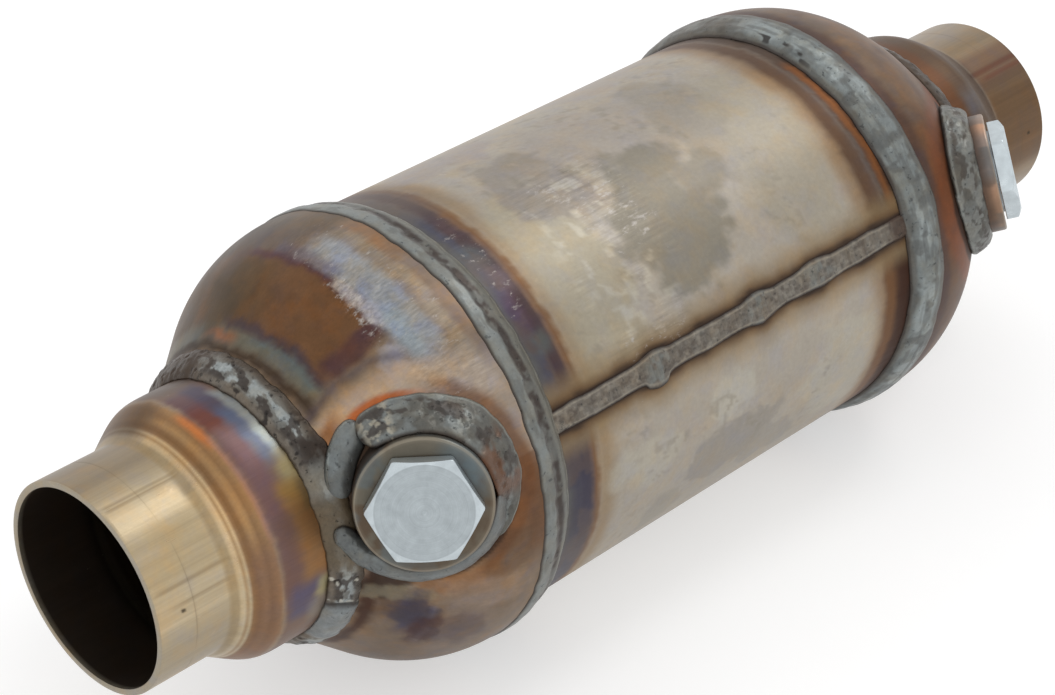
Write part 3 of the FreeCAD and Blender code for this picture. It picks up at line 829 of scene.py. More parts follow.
neck_stains = {
    "inlet": [
        (-5, 20, 1.0, 36, 66, 8, (178, 158, 122, 0.8), 0.6),
        # Painted shade darkens the top of the inlet pipe.
        (-5, 20, 1.0, -100, 8, 11, (124, 110, 91, 0.65), 0.85),
        (-5, 20, 1.0, 92, 180, 10, (166, 152, 128, 0.7), 0.8),
        (1.0, 20, 0.8, 17.2, 18.2, 0.5, (112, 95, 68, 0.6), 0.6),
        (1.0, 20, 0.8, 19.4, 20.8, 0.6, (118, 101, 74, 0.6), 0.6),
        (1.0, 20, 2.0, 66, 68, 0.8, (128, 108, 78, 0.6), 0.5),
        (5.0, 20, 3.0, 76, 77.4, 0.6, (134, 114, 84, 0.6), 0.5),
        (18.4, 20.6, 0.5, *FULL, (150, 128, 92, 0.65), 0.6),
        # Painted highlight: a bright line round the foot of the flare.
        (20.6, 22.6, 0.3, -14, 72, 9, (194, 166, 126, 0.9), 0.8),
        (21.5, 21.9, 0.15, *FULL, (140, 106, 66, 0.7), 0.6),
        (22.6, 28.4, 0.4, *FULL, (142, 108, 72, 0.68), 0.9),
        (22.7, 24.2, 0.5, *FULL, (114, 82, 52, 0.65), 0.65),
        # Painted highlight: a second bright line on the flare.
        (24.6, 25.6, 0.5, -10, 66, 9, (172, 136, 92, 0.8), 0.55),
        (25.9, 26.8, 0.5, *FULL, (112, 80, 52, 0.65), 0.4),
        (23.4, 28.6, 0.8, 66, 180, 10, (128, 98, 78, 0.65), 0.7),
        # Orange heat tint and a pink line on the collar's shoulder, both brightened as a painted
        # highlight.
        (26.8, 28.9, 0.4, 0, 20, 5, (184, 112, 62, 0.78), 0.85),
        (27.8, 29.4, 0.35, 18, 66, 6, (164, 122, 108, 0.8), 0.7),
        (20.5, 28.4, 1.0, -100, -12, 9, (86, 66, 46, 0.6), 0.8),
        (28.8, 60.0, 0.6, *FULL, (112, 88, 78, 0.62), 0.92),
        (28.8, 34.4, 0.8, 22, 62, 5, (112, 86, 88, 0.68), 0.85),
        (28.8, 35.0, 0.9, -14, 6, 5, (92, 66, 70, 0.65), 0.85),
        (28.8, 34.2, 0.9, 3, 17, 4, (106, 56, 46, 0.65), 0.8),
        (30.0, 34.6, 0.9, 16, 24, 4, (122, 96, 98, 0.68), 0.8),
        (28.8, 60.0, 2.0, -100, -16, 8, (82, 68, 58, 0.6), 0.85),
        (33.6, 38.6, 0.8, -16, 12, 5, (68, 64, 82, 0.68), 0.85),
        (34.2, 38.4, 0.8, 9, 24, 4, (80, 92, 116, 0.72), 0.85),
        (34.2, 38.4, 0.8, 22, 38, 4, (98, 108, 122, 0.75), 0.8),
        # Painted highlight, tinted pale cyan, along the collar next to the weld.
        (37.6, 60.0, 0.6, -2, 24, 5, (132, 138, 136, 0.8), 0.8),
        (37.2, 60.0, 0.5, 22, 37, 3, (150, 157, 150, 0.8), 0.75),
        (36.6, 60.0, 0.9, 36, 50, 4, (152, 140, 100, 0.72), 0.85),
        (33.4, 40.0, 1.2, 47, 60, 4, (152, 118, 62, 0.7), 0.8),
        (33.6, 60.0, 1.4, 55, 89, 4, (144, 106, 66, 0.66), 0.85),
        (38.6, 60.0, 0.8, 48, 62, 4, (108, 90, 58, 0.6), 0.7),
        (28.8, 33.8, 1.0, 60, 92, 6, (110, 84, 78, 0.65), 0.8),
        (30.0, 38.6, 1.2, 90, 108, 4, (84, 80, 106, 0.7), 0.8),
        (37.6, 60.0, 0.7, 91, 102, 3, (158, 152, 116, 0.78), 0.8),
        (36.0, 60.0, 1.0, 101, 116, 5, (140, 130, 116, 0.7), 0.7),
    ],
    "outlet": [
        (-5, 19, 1.0, *FULL, (124, 107, 86, 0.68), 0.88),
        (-5, 19, 1.0, 42, 104, 9, (100, 74, 50, 0.65), 0.85),
        (-5, 19, 1.0, 17, 44, 5, (90, 66, 52, 0.6), 0.75),
        (-5, 19, 1.0, 104, 160, 8, (136, 118, 96, 0.7), 0.8),
        (-5, 19, 1.0, -70, 2, 8, (158, 144, 126, 0.75), 0.6),
        (-5, 22, 2.0, 29.5, 33.0, 1.2, (86, 54, 42, 0.6), 0.8),
        (-5, 16, 2.0, 35.0, 38.0, 1.2, (98, 62, 48, 0.6), 0.7),
        (19, 30, 1.0, *FULL, (70, 48, 34, 0.6), 0.9),
        (29, 50, 1.0, *FULL, (74, 50, 35, 0.6), 0.9),
        (28, 34, 1.2, 38, 52, 5, (104, 106, 112, 0.7), 0.5),
        (35, 50, 1.0, -20, 60, 8, (102, 66, 42, 0.62), 0.75),
        (37, 50, 1.0, 60, 130, 10, (84, 66, 56, 0.6), 0.7),
    ],
}


def neck_paint(points, end):
    """Straw-coloured pipe with painted shade on the inlet's top, painted highlights on the flare,
    shoulder and collar, heat tints on the collar, and sooty inside.
    """
    points = end_points(points, end)
    station, azimuth, radius = round_places(points)
    paint = stained(points, station, azimuth, (180, 164, 136, 0.86), neck_stains[end],
                    91 if end == "inlet" else 97, 0.1 + 0.9 * rise(station, 27, 30))
    around = np.stack((np.zeros_like(azimuth), points[..., 1], points[..., 2]), axis=-1)
    streaks = rough(around, 2.0, 101) * (1 - rise(station, 18, 30))
    along = np.stack((station, 0.02 * points[..., 1], 0.02 * points[..., 2]), axis=-1)
    rings = rough(along, 0.9, 107, 2) * hump(station, 20, 28.6, 0.6)
    paint[..., :3] *= (1 + 0.10 * streaks + 0.16 * rings)[..., None]
    ring_line = hump(station, 9.35, 9.6, 0.12) * (0.3 + 0.4 * rough(around, 9, 109))
    paint = over(paint, ring_line, (96, 80, 58, 0.5))
    pits = rise(rough(points, 1.1, 105), 0.35, 0.5)
    pits = pits * hump(station, 4.6, 8.6, 0.5) * hump(azimuth, 76.5, 81.5, 1)
    paint = over(paint, pits * 0.9, (52, 44, 34, 0.3))
    depth = neck_outline(0, station) - radius
    paint = over(paint, rise(depth, 1.0, 1.35), (50, 41, 33, 0.45))
    return over(paint, (station < 0.12) * 0.9, (158, 149, 132, 0.7))


neck_finish = steel_finish("drawn stainless tube", (50, 1900, 1900), 0.34, 0.16, 0.10, 0.5)
neck_azimuths = np.arange(0, 360, 0.9)
for end in ("inlet", "outlet"):
    stations = np.append(np.arange(0.3, neck_end - 0.3, 0.55), (9.3, 9.45, 9.6))
    stations = np.unique(stations)
    outer_path = [(0, pipe_radius - 0.25), (0.08, pipe_radius - 0.06)]
    outer_path += list(zip(stations, neck_outline(0, stations)))
    outer_path += [(neck_end, collar_radius - 0.2)]
    stations = np.arange(neck_end - 0.1, 0.3, -1.6)
    inner_path = [(neck_end, collar_radius - pipe_wall + 0.2)]
    inner_path += list(zip(stations, neck_outline(-pipe_wall, stations + 0.4)))
    inner_path += [(0.12, pipe_radius - pipe_wall), (0, pipe_radius - pipe_wall + 0.15)]
    neck_grid = turned_grid(outer_path + inner_path, neck_azimuths)
    neck_points = end_points(neck_grid.reshape(-1, 3), end)
    faces = grid_faces(*neck_grid.shape[:2], wrap_rows=True, wrap_columns=True)
    faces = faces[:, ::-1] if end == "outlet" else faces
    neck = mesh_piece(f"{end}_pipe_neck", neck_points, faces, 50)
    finished(neck, neck_finish, f"{end}_neck", neck_paint(own_points(neck), end))


# Neck welds: a fillet bead in the corner between the collar and the dome, laid by hand in
# overlapping ripples. It is dull grey with islands of glassy slag and dark pores. Behind the boss
# it is smooth, and below the inlet boss it ends in a smooth lump.
def bead_finish(name, speck_share, relief_depth):
    """Weld metal: the paint with specks, pores, and rust-brown and slag-blue casts."""
    material, start, place = new_finish(name)
    paint, gloss = [attribute(start, "paint", part) for part in ("Color", "Alpha")]
    specks = place.noise(1500, 4, 0.65)
    patches = place.noise(420, 5, 0.62)
    pores = place.noise(800, 3, 0.55).ramp((0.0, 1.0), (0.30, 1.0), (0.37, 0.0), (1.0, 0.0))
    rust_share = place.noise(200, 4, 0.6).rising(0.42, 0.70)
    colour = paint.mixed(paint.times(1.04, 0.96, 0.84), rust_share * 0.7)
    colour = colour.mixed(paint.times(0.90, 0.98, 1.06), (1 - rust_share) * 0.5)
    tone = 1 + (specks - 0.5) * speck_share + (patches - 0.5) * speck_share * 1.6 - pores * 0.45
    roughness = 0.64 - gloss * 0.38 + (patches - 0.5) * 0.3
    close_finish(start, colour.dimmed(tone), roughness, 0.35 + gloss * 0.35,
                 specks * 0.35 + patches - pores * 0.8, relief_depth)
    return material


def wavy_toe(toe, azimuths, middle, seed, broad, fine, sink, climb=0, shift=0):
    """A bead's toe line round the axis, a little sunk in. Its station wavers by broad noise and by
    fine noise, each given as (reach, size), and its radius follows it by the climb."""
    waver = broad[0] * rough(middle, broad[1], seed) + fine[0] * grain(middle, fine[1], seed + 2)
    return round_points(toe[0] + waver + shift, toe[1] + waver * climb - sink, azimuths)


def square_to(inner_toe, outer_toe):
    """The direction square to the line between two toes in section, away from the axis."""
    toe_line = outer_toe - inner_toe
    return np.array((-toe_line[1], toe_line[0])) / np.hypot(*toe_line)


def ripples(place):
    """1 at each whole number and 0 halfway between: a row of overlapping ripples."""
    return np.abs((place % 1) - 0.5) * 2


def arched(count):
    """Shares across a bead from 0 to 1, and the arch 4t(1 - t) over them."""
    across = np.linspace(0, 1, count)[None, :]
    return across, 4 * across * (1 - across)


under_shares = np.array((0.92, 0.6, 0.35, 0.08))[None, :, None]


def bead_grid(toe_in, toe_out, lift, height, root):
    """A closed bead: its top spans the chord between the toe lines, raised along the lift by the
    height, and its underside returns below the chord by the root depth."""
    across = np.linspace(0, 1, height.shape[1])[None, :, None]
    start, chord = toe_in[:, None], (toe_out - toe_in)[:, None]
    top = start + chord * across + lift[:, None] * height[..., None]
    under = start + chord * under_shares - lift[:, None] * np.reshape(root, (-1, 1, 1))
    return np.concatenate((top, under), axis=1)


def with_underside(paint):
    """Paint for a bead's top, extended to the four points of its underside."""
    return np.concatenate((paint, plain((len(paint), 4), (60, 50, 44, 0.3))), axis=1)


def finished_bead(name, grids, paints, finish, node, closed_ring, turned_over):
    """A bead's mesh of one or more grids of points, with its paint and finish. An open bead's
    ends run together to a point."""
    points, faces, tones = np.zeros((0, 3)), np.zeros((0, 4), int), np.zeros((0, 4))
    for grid, paint in zip(grids, paints):
        paint = with_underside(paint)
        if turned_over:
            grid, paint = grid[:, ::-1], paint[:, ::-1]
        wound = grid_faces(*grid.shape[:2], wrap_rows=closed_ring, wrap_columns=True)
        faces = np.vstack((faces, wound + len(points)))
        points = np.vstack((points, grid.reshape(-1, 3)))
        tones = np.vstack((tones, paint.reshape(-1, 4)))
    bead = mesh_piece(name, points, faces, 180)
    kept(bead, "paint", "FLOAT_COLOR", tones)
    if not closed_ring:
        join_ends(bead)
    finished(bead, finish, node)


neck_bead_finish = bead_finish("neck weld metal", 0.6, 0.14)
bead_azimuths = np.arange(0, 360, 0.42)
neck_toe = np.array((40.0, 31.0))
dome_toe = np.array((47.0, 34.96))
neck_bead_crown = 1.25
neck_bead_middle = (43.5, 33.0)
neck_ripple = 2.3
cone_climb = 0.84
lift = round_points(*square_to(neck_toe, dome_toe), bead_azimuths)
across, arch = arched(32)
turn = bead_azimuths[:, None] + 0 * across
for end, seed in (("inlet", 201), ("outlet", 231)):
    middle = round_points(*neck_bead_middle, bead_azimuths)
    toe_in = wavy_toe(neck_toe, bead_azimuths, middle, seed, (0.55, 7), (0.25, 1.6), 0.05)
    toe_out = wavy_toe(dome_toe, bead_azimuths, middle, seed + 4, (0.6, 6), (0.25, 1.6), 0.05,
                       cone_climb)
    flat = toe_in[:, None] + (toe_out - toe_in)[:, None] * across[..., None]
    lump = angle_in(turn, 109, 133, 2.0) * (end == "inlet")
    smooth = np.maximum(lump, angle_in(turn, 47, 90, 3.0))
    arc = turn * math.pi / 180 * neck_bead_middle[1]
    ripple = ripples(arc / neck_ripple - 0.55 * np.sin(math.pi * across))
    height = neck_bead_crown * arch ** 0.62 * (1 + 0.24 * rough(flat, 5, seed + 8) * (1 - smooth))
    height = height - 0.45 * arch * angle_in(turn, 47, 90, 5.0)
    skin = 0.20 * rough(flat, 1.7, seed + 12) + 0.10 * (ripple - 0.5)
    pore = rise(rough(flat, 1.5, seed + 15, 2), 0.28, 0.5) * rise(np.abs(across - 0.5), 0.0, 0.25)
    height = height + (skin - 0.32 * pore) * (1 - smooth) * arch ** 0.5
    lump_end = line_at(turned_from(turn, 108.6), 0, 1.3) * (end == "inlet")
    height = height + (lump * 0.4 - lump_end * 0.75) * np.sin(math.pi * across)
    grid = bead_grid(toe_in, toe_out, lift, height, 0.7)
    paint = plain(height.shape, (102, 95, 86, 0.5))
    paint = over(paint, (1 - rise(across, 0.18, 0.42)) * 0.8, (112, 102, 90, 0.55))
    strip = hump(across, 0.28, 0.74, 0.10)
    laid = flat * (1, 0.55, 0.55)
    # Pale glossy slag flakes along the crown; their light tone is partly a painted highlight.
    paint = over(paint, strip * 0.6, (122, 122, 117, 0.62))
    pale = rise(rough(laid, 2.0, seed + 20, 4), -0.06, 0.16)
    paint = over(paint, pale * strip * 0.8, (156, 160, 158, 0.75))
    slag_mask = rise(rough(laid, 1.9, seed + 24, 4), 0.12, 0.26) * hump(across, 0.2, 0.8, 0.1)
    paint = over(paint, slag_mask * 0.85 * (1 - smooth), (54, 44, 38, 0.6))
    paint = over(paint, pore * 0.9 * (1 - smooth), (34, 27, 23, 0.3))
    # Painted shadow darkens the bead's side towards the dome.
    outer = rise(across + 0.05 * rough(flat, 3, seed + 26), 0.72, 0.92)
    paint = over(paint, outer * 0.8, (62, 49, 37, 0.5))
    paint = over(paint, (1 - rise(across, 0.0, 0.08)) * 0.7, (66, 52, 40, 0.5))
    paint = over(paint, angle_in(turn, -110, -16, 8) * 0.9, (62, 47, 35, 0.5))
    if end == "inlet":
        paint = over(paint, angle_in(turn, 60, 90, 4) * 0.85, (96, 82, 62, 0.55))
        paint = over(paint, angle_in(turn, 50, 58, 3) * 0.8, (118, 112, 100, 0.6))
        # Painted shade in the dark recess beside the boss, at turns 38 to 48.
        recess_shade = angle_in(turn, 38, 48, 3) * rise(across, 0.2, 0.5)
        paint = over(paint, recess_shade * 0.85, (46, 34, 25, 0.45))
        flecks = rise(grain(flat, 1.2, seed + 30), 0.5, 0.7) * angle_in(turn, 91, 108, 2)
        paint = over(paint, flecks * 0.7, (196, 192, 180, 0.8))
    else:
        paint = over(paint, 0.4 + 0.5 * angle_in(turn, 2, 36, 8), (66, 52, 40, 0.5))
    paint = over(paint, lump * 0.85, (132, 135, 134, 0.7))
    # Painted shade in the gap at the lump's end.
    paint = over(paint, lump_end * 0.85, (46, 37, 32, 0.4))
    finished_bead(f"{end}_neck_bead", [end_points(grid, end)], [paint], neck_bead_finish,
                  f"{end}_neck_weld", True, end == "inlet")


# Shell welds: a broad bead over the end of each skirt, down to the shell. The inlet's has a raised
# wavy edge, a chain of dark slag along its middle and a smooth slope; the outlet's is smooth.
shell_bead_finish = bead_finish("shell weld metal", 0.4, 0.08)
skirt_toe = np.array((83.13, 53.7))
shell_toe = np.array((93.23, 51.0))
shell_bead_middle = (88.0, 53.0)
shell_bead_crown = 1.4
shell_bead_limit = 54.1
bead_azimuths = np.arange(0, 360, 0.32)
lift_in_section = square_to(skirt_toe, shell_toe)
lift = round_points(*lift_in_section, bead_azimuths)
across, arch = arched(40)
turn = bead_azimuths[:, None] + 0 * across
for end, seed in (("inlet", 301), ("outlet", 341)):
    middle = round_points(*shell_bead_middle, bead_azimuths)
    toe_in = wavy_toe(skirt_toe, bead_azimuths, middle, seed, (0.6, 8), (0.25, 2.4), 0.03,
                      shift=-0.3)
    toe_out = wavy_toe(shell_toe, bead_azimuths, middle, seed + 4, (0.45, 9), (0.22, 3.0), 0.03)
    flat = toe_in[:, None] + (toe_out - toe_in)[:, None] * across[..., None]
    height = shell_bead_crown * arch ** 0.75
    around = flat * (0, 1, 1)
    wave = 0.055 * grain(around, 2.6, seed + 8) + 0.035 * grain(around, 7, seed + 9)
    if end == "inlet":
        ledge = across - 0.34 - wave
        height = height + 0.24 * line_at(ledge, -0.10, 0.09) - 0.30 * line_at(ledge, 0.13, 0.09)
        height = height + 0.12 * line_at(across - wave, 0.72, 0.10)
    else:
        height = height + 0.14 * line_at(across - wave, 0.22, 0.09)
        height = height + 0.14 * line_at(across + wave, 0.72, 0.09)
    skin = 0.12 * rough(flat, 2.2, seed + 12) + 0.10 * rough(flat, 6, seed + 16)
    room = (shell_bead_limit - np.hypot(flat[..., 1], flat[..., 2])) / lift_in_section[1]
    height = np.minimum(height + skin * arch ** 0.5, room)
    grid = bead_grid(toe_in, toe_out, lift, height, 0.5)
    paint = plain(height.shape, (100, 98, 92, 0.5))
    if end == "inlet":
        laid = flat * (0.5, 1, 1)
        light = (1 - rise(ledge, -0.03, 0.03)) * rise(across, 0.04, 0.09)
        paint = over(paint, light * 0.9, (128, 130, 126, 0.62))
        streaks = rise(rough(flat * (1, 0.35, 0.35), 1.8, seed + 18), 0.05, 0.35)
        paint = over(paint, streaks * light * 0.5, (96, 94, 88, 0.5))
        chain = hump(across - 0.5 * wave + 0.05 * rough(flat, 1.6, seed + 22), 0.35, 0.60, 0.05)
        broken = rough(flat * (0.8, 1, 1), 4.2, seed + 20, 4) + 0.5 * rough(flat, 1.5, seed + 21)
        chain = chain * rise(broken, -0.35, 0.2)
        paint = over(paint, chain * 0.92, (58, 48, 43, 0.65))
        paint = over(paint, hump(across, 0.62, 0.95, 0.04) * 0.6, (114, 112, 102, 0.58))
        streaks = rise(rough(flat * (1, 0.3, 0.3), 1.2, seed + 23), 0.1, 0.4)
        paint = over(paint, streaks * hump(across, 0.62, 0.9, 0.05) * 0.5, (88, 84, 76, 0.55))
        lip = line_at(across - wave * 0.6, 0.88, 0.016)
        paint = over(paint, lip * 0.75, (160, 157, 142, 0.65))
        paint = over(paint, rise(across, 0.92, 0.97) * 0.8, (66, 56, 46, 0.5))
    else:
        body = hump(across - wave, 0.16, 0.84, 0.05)
        paint = over(paint, body * 0.75, (126, 131, 129, 0.62))
        # Painted highlight: light patches along the crest of the outlet's bead.
        crest = rise(rough(flat * (0.5, 1, 1), 4, seed + 22), -0.1, 0.35)
        crest = crest * hump(across - wave, 0.25, 0.75, 0.08)
        paint = over(paint, crest * 0.6, (158, 163, 160, 0.7))
        dull = rise(rough(flat * (0.6, 1, 1), 3.2, seed + 26), 0.15, 0.4)
        paint = over(paint, dull * 0.6, (84, 82, 78, 0.5))
        streaks = rise(rough(flat * (1, 0.22, 0.22), 1.3, seed + 29), 0.0, 0.35)
        streaks = streaks * hump(across, 0.06, 0.94, 0.04)
        paint = over(paint, streaks * 0.55, (88, 88, 85, 0.5))
        pits = rise(grain(flat * (1, 0.6, 0.6), 1.5, seed + 28), 0.4, 0.6)
        pits = pits * hump(across, 0.62, 0.88, 0.04) * angle_in(turn, -16, 16, 4)
        paint = over(paint, pits * 0.9, (40, 34, 31, 0.4))
        paint = over(paint, angle_in(turn, -110, -10, 9) * 0.6, (78, 68, 56, 0.55))
        # Painted shadow along the bead's edge on the shell side.
        paint = over(paint, rise(across + 0.3 * wave, 0.90, 0.97) * 0.85, (56, 46, 40, 0.45))
    paint = over(paint, (1 - rise(across, 0.015, 0.055)) * 0.85, (54, 42, 34, 0.45))
    finished_bead(f"{end}_shell_bead", [end_points(grid, end)], [paint], shell_bead_finish,
                  f"{end}_shell_weld", True, end == "inlet")


# Seam weld: a low machine-laid bead along the shell between the two round welds, finely rippled,
# with three places where it was gone over again and bulges.
seam_bead_finish = bead_finish("seam weld metal", 0.5, 0.10)
seam_end = 91.5
seam_ripple = 1.5
seam_crown = 0.62
seam_sink = 0.02
seam_root = 1.4
seam_stations = np.arange(seam_end, overall_length - seam_end, 0.24)
across = np.linspace(-1, 1, 30)[None, :]
line_points = round_points(seam_stations, shell_radius, seam_azimuth)
drift = 0.22 * rough(line_points, 9, 401)
upper_edge = seam_half_width(seam_stations) + 0.28 * rough(line_points, 4.5, 405)
lower_edge = seam_half_width(seam_stations) + 0.28 * rough(line_points, 5.0, 409)
lower_edge = lower_edge + 1.0 * hump(seam_stations, 121.5, 128.5, 0.7)
half_width = np.where(across < 0, upper_edge[:, None], lower_edge[:, None])
seam_turn = seam_azimuth + np.degrees((half_width * across + drift[:, None]) / shell_radius)
flat = round_points(seam_stations[:, None], shell_radius, seam_turn)
bulge = (seam_half_width(seam_stations) - seam_half)[:, None]
ripple = ripples(seam_stations[:, None] / seam_ripple + 0.9 * (1 - across ** 2)
                 + 0.3 * rough(flat, 6, 413))
arch = (1 - across ** 2) ** 0.6
height = (seam_crown * arch * (1 + 0.25 * bulge) + 0.08 * (ripple - 0.5) * arch
          + 0.10 * rough(flat, 2.0, 417) * arch)
ends = np.minimum(rise(seam_stations, seam_end, seam_end + 1),
                  1 - rise(seam_stations, seam_stations[-1] - 1, seam_stations[-1]))
height = height * ends[:, None]
top = round_points(seam_stations[:, None], shell_radius + height - seam_sink, seam_turn)
root_share = np.array((0.9, 0.4, -0.4, -0.9))[None, :] * ends[:, None]
root_turn = seam_azimuth + np.degrees(root_share * 0.5 / shell_radius)
under = round_points(seam_stations[:, None], shell_radius - seam_root * ends[:, None], root_turn)
seam_grid = np.concatenate((top, under), axis=1)
for row in (0, -1):
    seam_grid[row] = round_points(seam_stations[row], shell_radius - seam_sink, seam_azimuth)
paint = plain(height.shape, (108, 100, 90, 0.5))
fine = rough(flat * (1, 1.6, 1.6), 1.5, 421)
paint = over(paint, rise(fine, 0.05, 0.4) * 0.6, (134, 126, 114, 0.6))
paint = over(paint, rise(-fine, 0.15, 0.5) * 0.6, (78, 68, 60, 0.45))
swollen = np.clip(bulge, 0, 1) * rise(rough(flat, 3, 427), -0.1, 0.3)
paint = over(paint, swollen * 0.6, (118, 122, 118, 0.6))
paint = over(paint, (1 - rise(ripple, 0.0, 0.25)) * 0.25 * arch, (66, 56, 50, 0.45))
paint = over(paint, line_at(np.abs(across), 0.74, 0.06) * 0.5, (152, 142, 126, 0.65))
paint = over(paint, rise(np.abs(across), 0.80, 0.94) * 0.9, (50, 40, 34, 0.45))
paint = over(paint, rise(seam_stations, 207, 212)[:, None] * 0.8, (60, 38, 25, 0.45))
finished_bead("seam_bead", [seam_grid], [paint], seam_bead_finish, "seam_weld", False, False)


# Sensor bosses: turned steel rings with a threaded bore, let into the dome square to its slope.
# The heat has browned them, with a blue cast on one side, and a highlight is painted along the turned
# edge.
boss_radius = 15.0
boss_rim = 7.0
boss_bottom = -5.5
bore_radius = 9.05
boss_edge = 0.7


def boss_local(rho, turn, height):
    """Boss coordinates (rho cos turn, rho sin turn, height), with the turn in degrees."""
    rho, turn, height = np.broadcast_arrays(rho, np.radians(turn), height)
    return np.stack((rho * np.cos(turn), rho * np.sin(turn), height), axis=-1)


def boss_points(rho, turn, height, end):
    """World points from boss coordinates: distance from its axis, local angle, and height above
    its foot."""
    foot, directions = boss_stand[end]
    return end_points(foot + boss_local(rho, turn, height) @ directions, end)


def lathe_place(start):
    """The piece's boss coordinates, and the distance from the boss's axis."""
    local = attribute(start, "turning", "Vector")
    feeds = {0: local.times(1, 1, 0)}
    return local, start.node("VectorMath", {"operation": "LENGTH"}, feeds, "Value")


boss_finish, start, place = new_finish("turned boss steel")
paint, gloss = [attribute(start, "paint", part) for part in ("Color", "Alpha")]
local, reach = lathe_place(start)
cuts = start.node("CombineXYZ", {}, {0: reach * 9.0}).noise(1.0, 3, 0.6)
smudge = place.noise(300, 5, 0.6)
tone = 1 + (cuts - 0.5) * 0.35 + (smudge - 0.5) * 0.5
roughness = 0.6 - gloss * 0.34 + (smudge - 0.5) * 0.2
close_finish(start, paint.dimmed(tone), roughness, 0.45 + gloss * 0.4, cuts + smudge * 0.4, 0.03)

ring_path = [(bore_radius, boss_bottom + 0.5), (bore_radius, boss_rim - 0.6),
             (bore_radius + 0.6, boss_rim)]
edge_start = boss_radius - boss_edge
ring_path += [(rho, boss_rim) for rho in np.linspace(bore_radius + 0.8, edge_start, 9)]
ring_path += [(edge_start + boss_edge * math.sin(angle),
               boss_rim - boss_edge + boss_edge * math.cos(angle))
              for angle in np.radians(np.linspace(0, 90, 7))[1:]]
ring_path += [(boss_radius, height)
              for height in np.linspace(boss_rim - 1.2, boss_bottom + 0.4, 12)]
ring_path += [(boss_radius - 0.4, boss_bottom), (bore_radius + 0.5, boss_bottom)]
ring_path = np.array(ring_path)
ring_turns = np.arange(0, 360, 2.0)
for end in ("inlet", "outlet"):
    grid = boss_points(ring_path[:, 0, None], ring_turns[None, :], ring_path[:, 1, None], end)
    faces = grid_faces(*grid.shape[:2], wrap_rows=True, wrap_columns=True)
    faces = faces[:, ::-1] if end == "inlet" else faces
    boss = mesh_piece(f"{end}_boss_ring", grid.reshape(-1, 3), faces, 42)
    rho, turn, height = ring_path[:, 0, None], ring_turns[None, :], ring_path[:, 1, None]
    ground = (104, 98, 86, 0.62) if end == "inlet" else (188, 146, 118, 0.7)
    paint = plain(grid.shape[:2], ground)
    paint = over(paint, rise(rough(grid, 5, 451, 4), -0.1, 0.2) * 0.7, (82, 62, 44, 0.55))
    paint = over(paint, rise(rough(grid, 6, 453, 4), 0.0, 0.25) * 0.55, (92, 104, 108, 0.66))
    paint = over(paint, angle_in(turn, 185, 238, 12) * 0.6, (98, 112, 118, 0.68))
    paint = over(paint, angle_in(turn, 60, 180, 20) * 0.6, (92, 80, 66, 0.6))
    # Painted highlight along the ring's turned top edge.
    edge_highlight = hump(rho, 14.35, 14.9, 0.15) * rise(height, 6.0, 6.4)
    paint = over(paint, edge_highlight * 0.35, (170, 160, 142, 0.72))
    paint = over(paint, (1 - rise(height, 4.2, 5.6)) * 0.8, (72, 56, 46, 0.45))
    paint = over(paint, (1 - rise(rho, 10.4, 11.8)) * 0.6, (84, 70, 58, 0.5))
    kept(boss, "turning", "FLOAT_VECTOR", boss_local(rho, turn, height))
    finished(boss, boss_finish, f"{end}_boss", paint)


# Boss welds: two runs of bead round each boss. The upper one is broad and porous and ends towards
# the neck in a smooth lump; the lower one starts with a round end and sweeps under the boss.
outline = [(0, pipe_radius), (flare_start, pipe_radius), (flare_end, collar_radius),
           (39.9, collar_radius)]
neck_bead_out = np.array((-0.49, 0.87)) * 1.7
for share in np.linspace(0, 1, 12):
    outline.append(neck_toe + (dome_toe - neck_toe) * share
                   + neck_bead_out * (4 * share * (1 - share)) ** 0.7)
outline += [point for point in dome_outline(120) if 47.3 < point[0] < 82.5]
outline += [(83.2, 53.7), (85.5, 54.1), (88.5, 53.9), (91.0, 52.6), (93.2, 51.0), (120, 51.0)]
outline_stations, outline_radii = np.array(outline).T
boss_run_radius = 18
boss_ripple = 2.2
boss_bead_root = 0.8


def height_on_body(rho, turn, end):
    """Height in boss coordinates of the outside of dome, neck and their beads, found by halving
    steps."""
    shape = np.broadcast(rho, turn).shape
    low, high = np.full(shape, -14.0), np.full(shape, 9.0)
    for _ in range(24):
        middle = (low + high) / 2
        points = end_points(boss_points(rho, turn, middle, end), end)
        station, _, radius = round_places(points)
        outside = radius > np.interp(station, outline_stations, outline_radii)
        low, high = np.where(outside, low, middle), np.where(outside, middle, high)
    return (low + high) / 2


boss_bead_finish = bead_finish("boss weld metal", 0.5, 0.12)


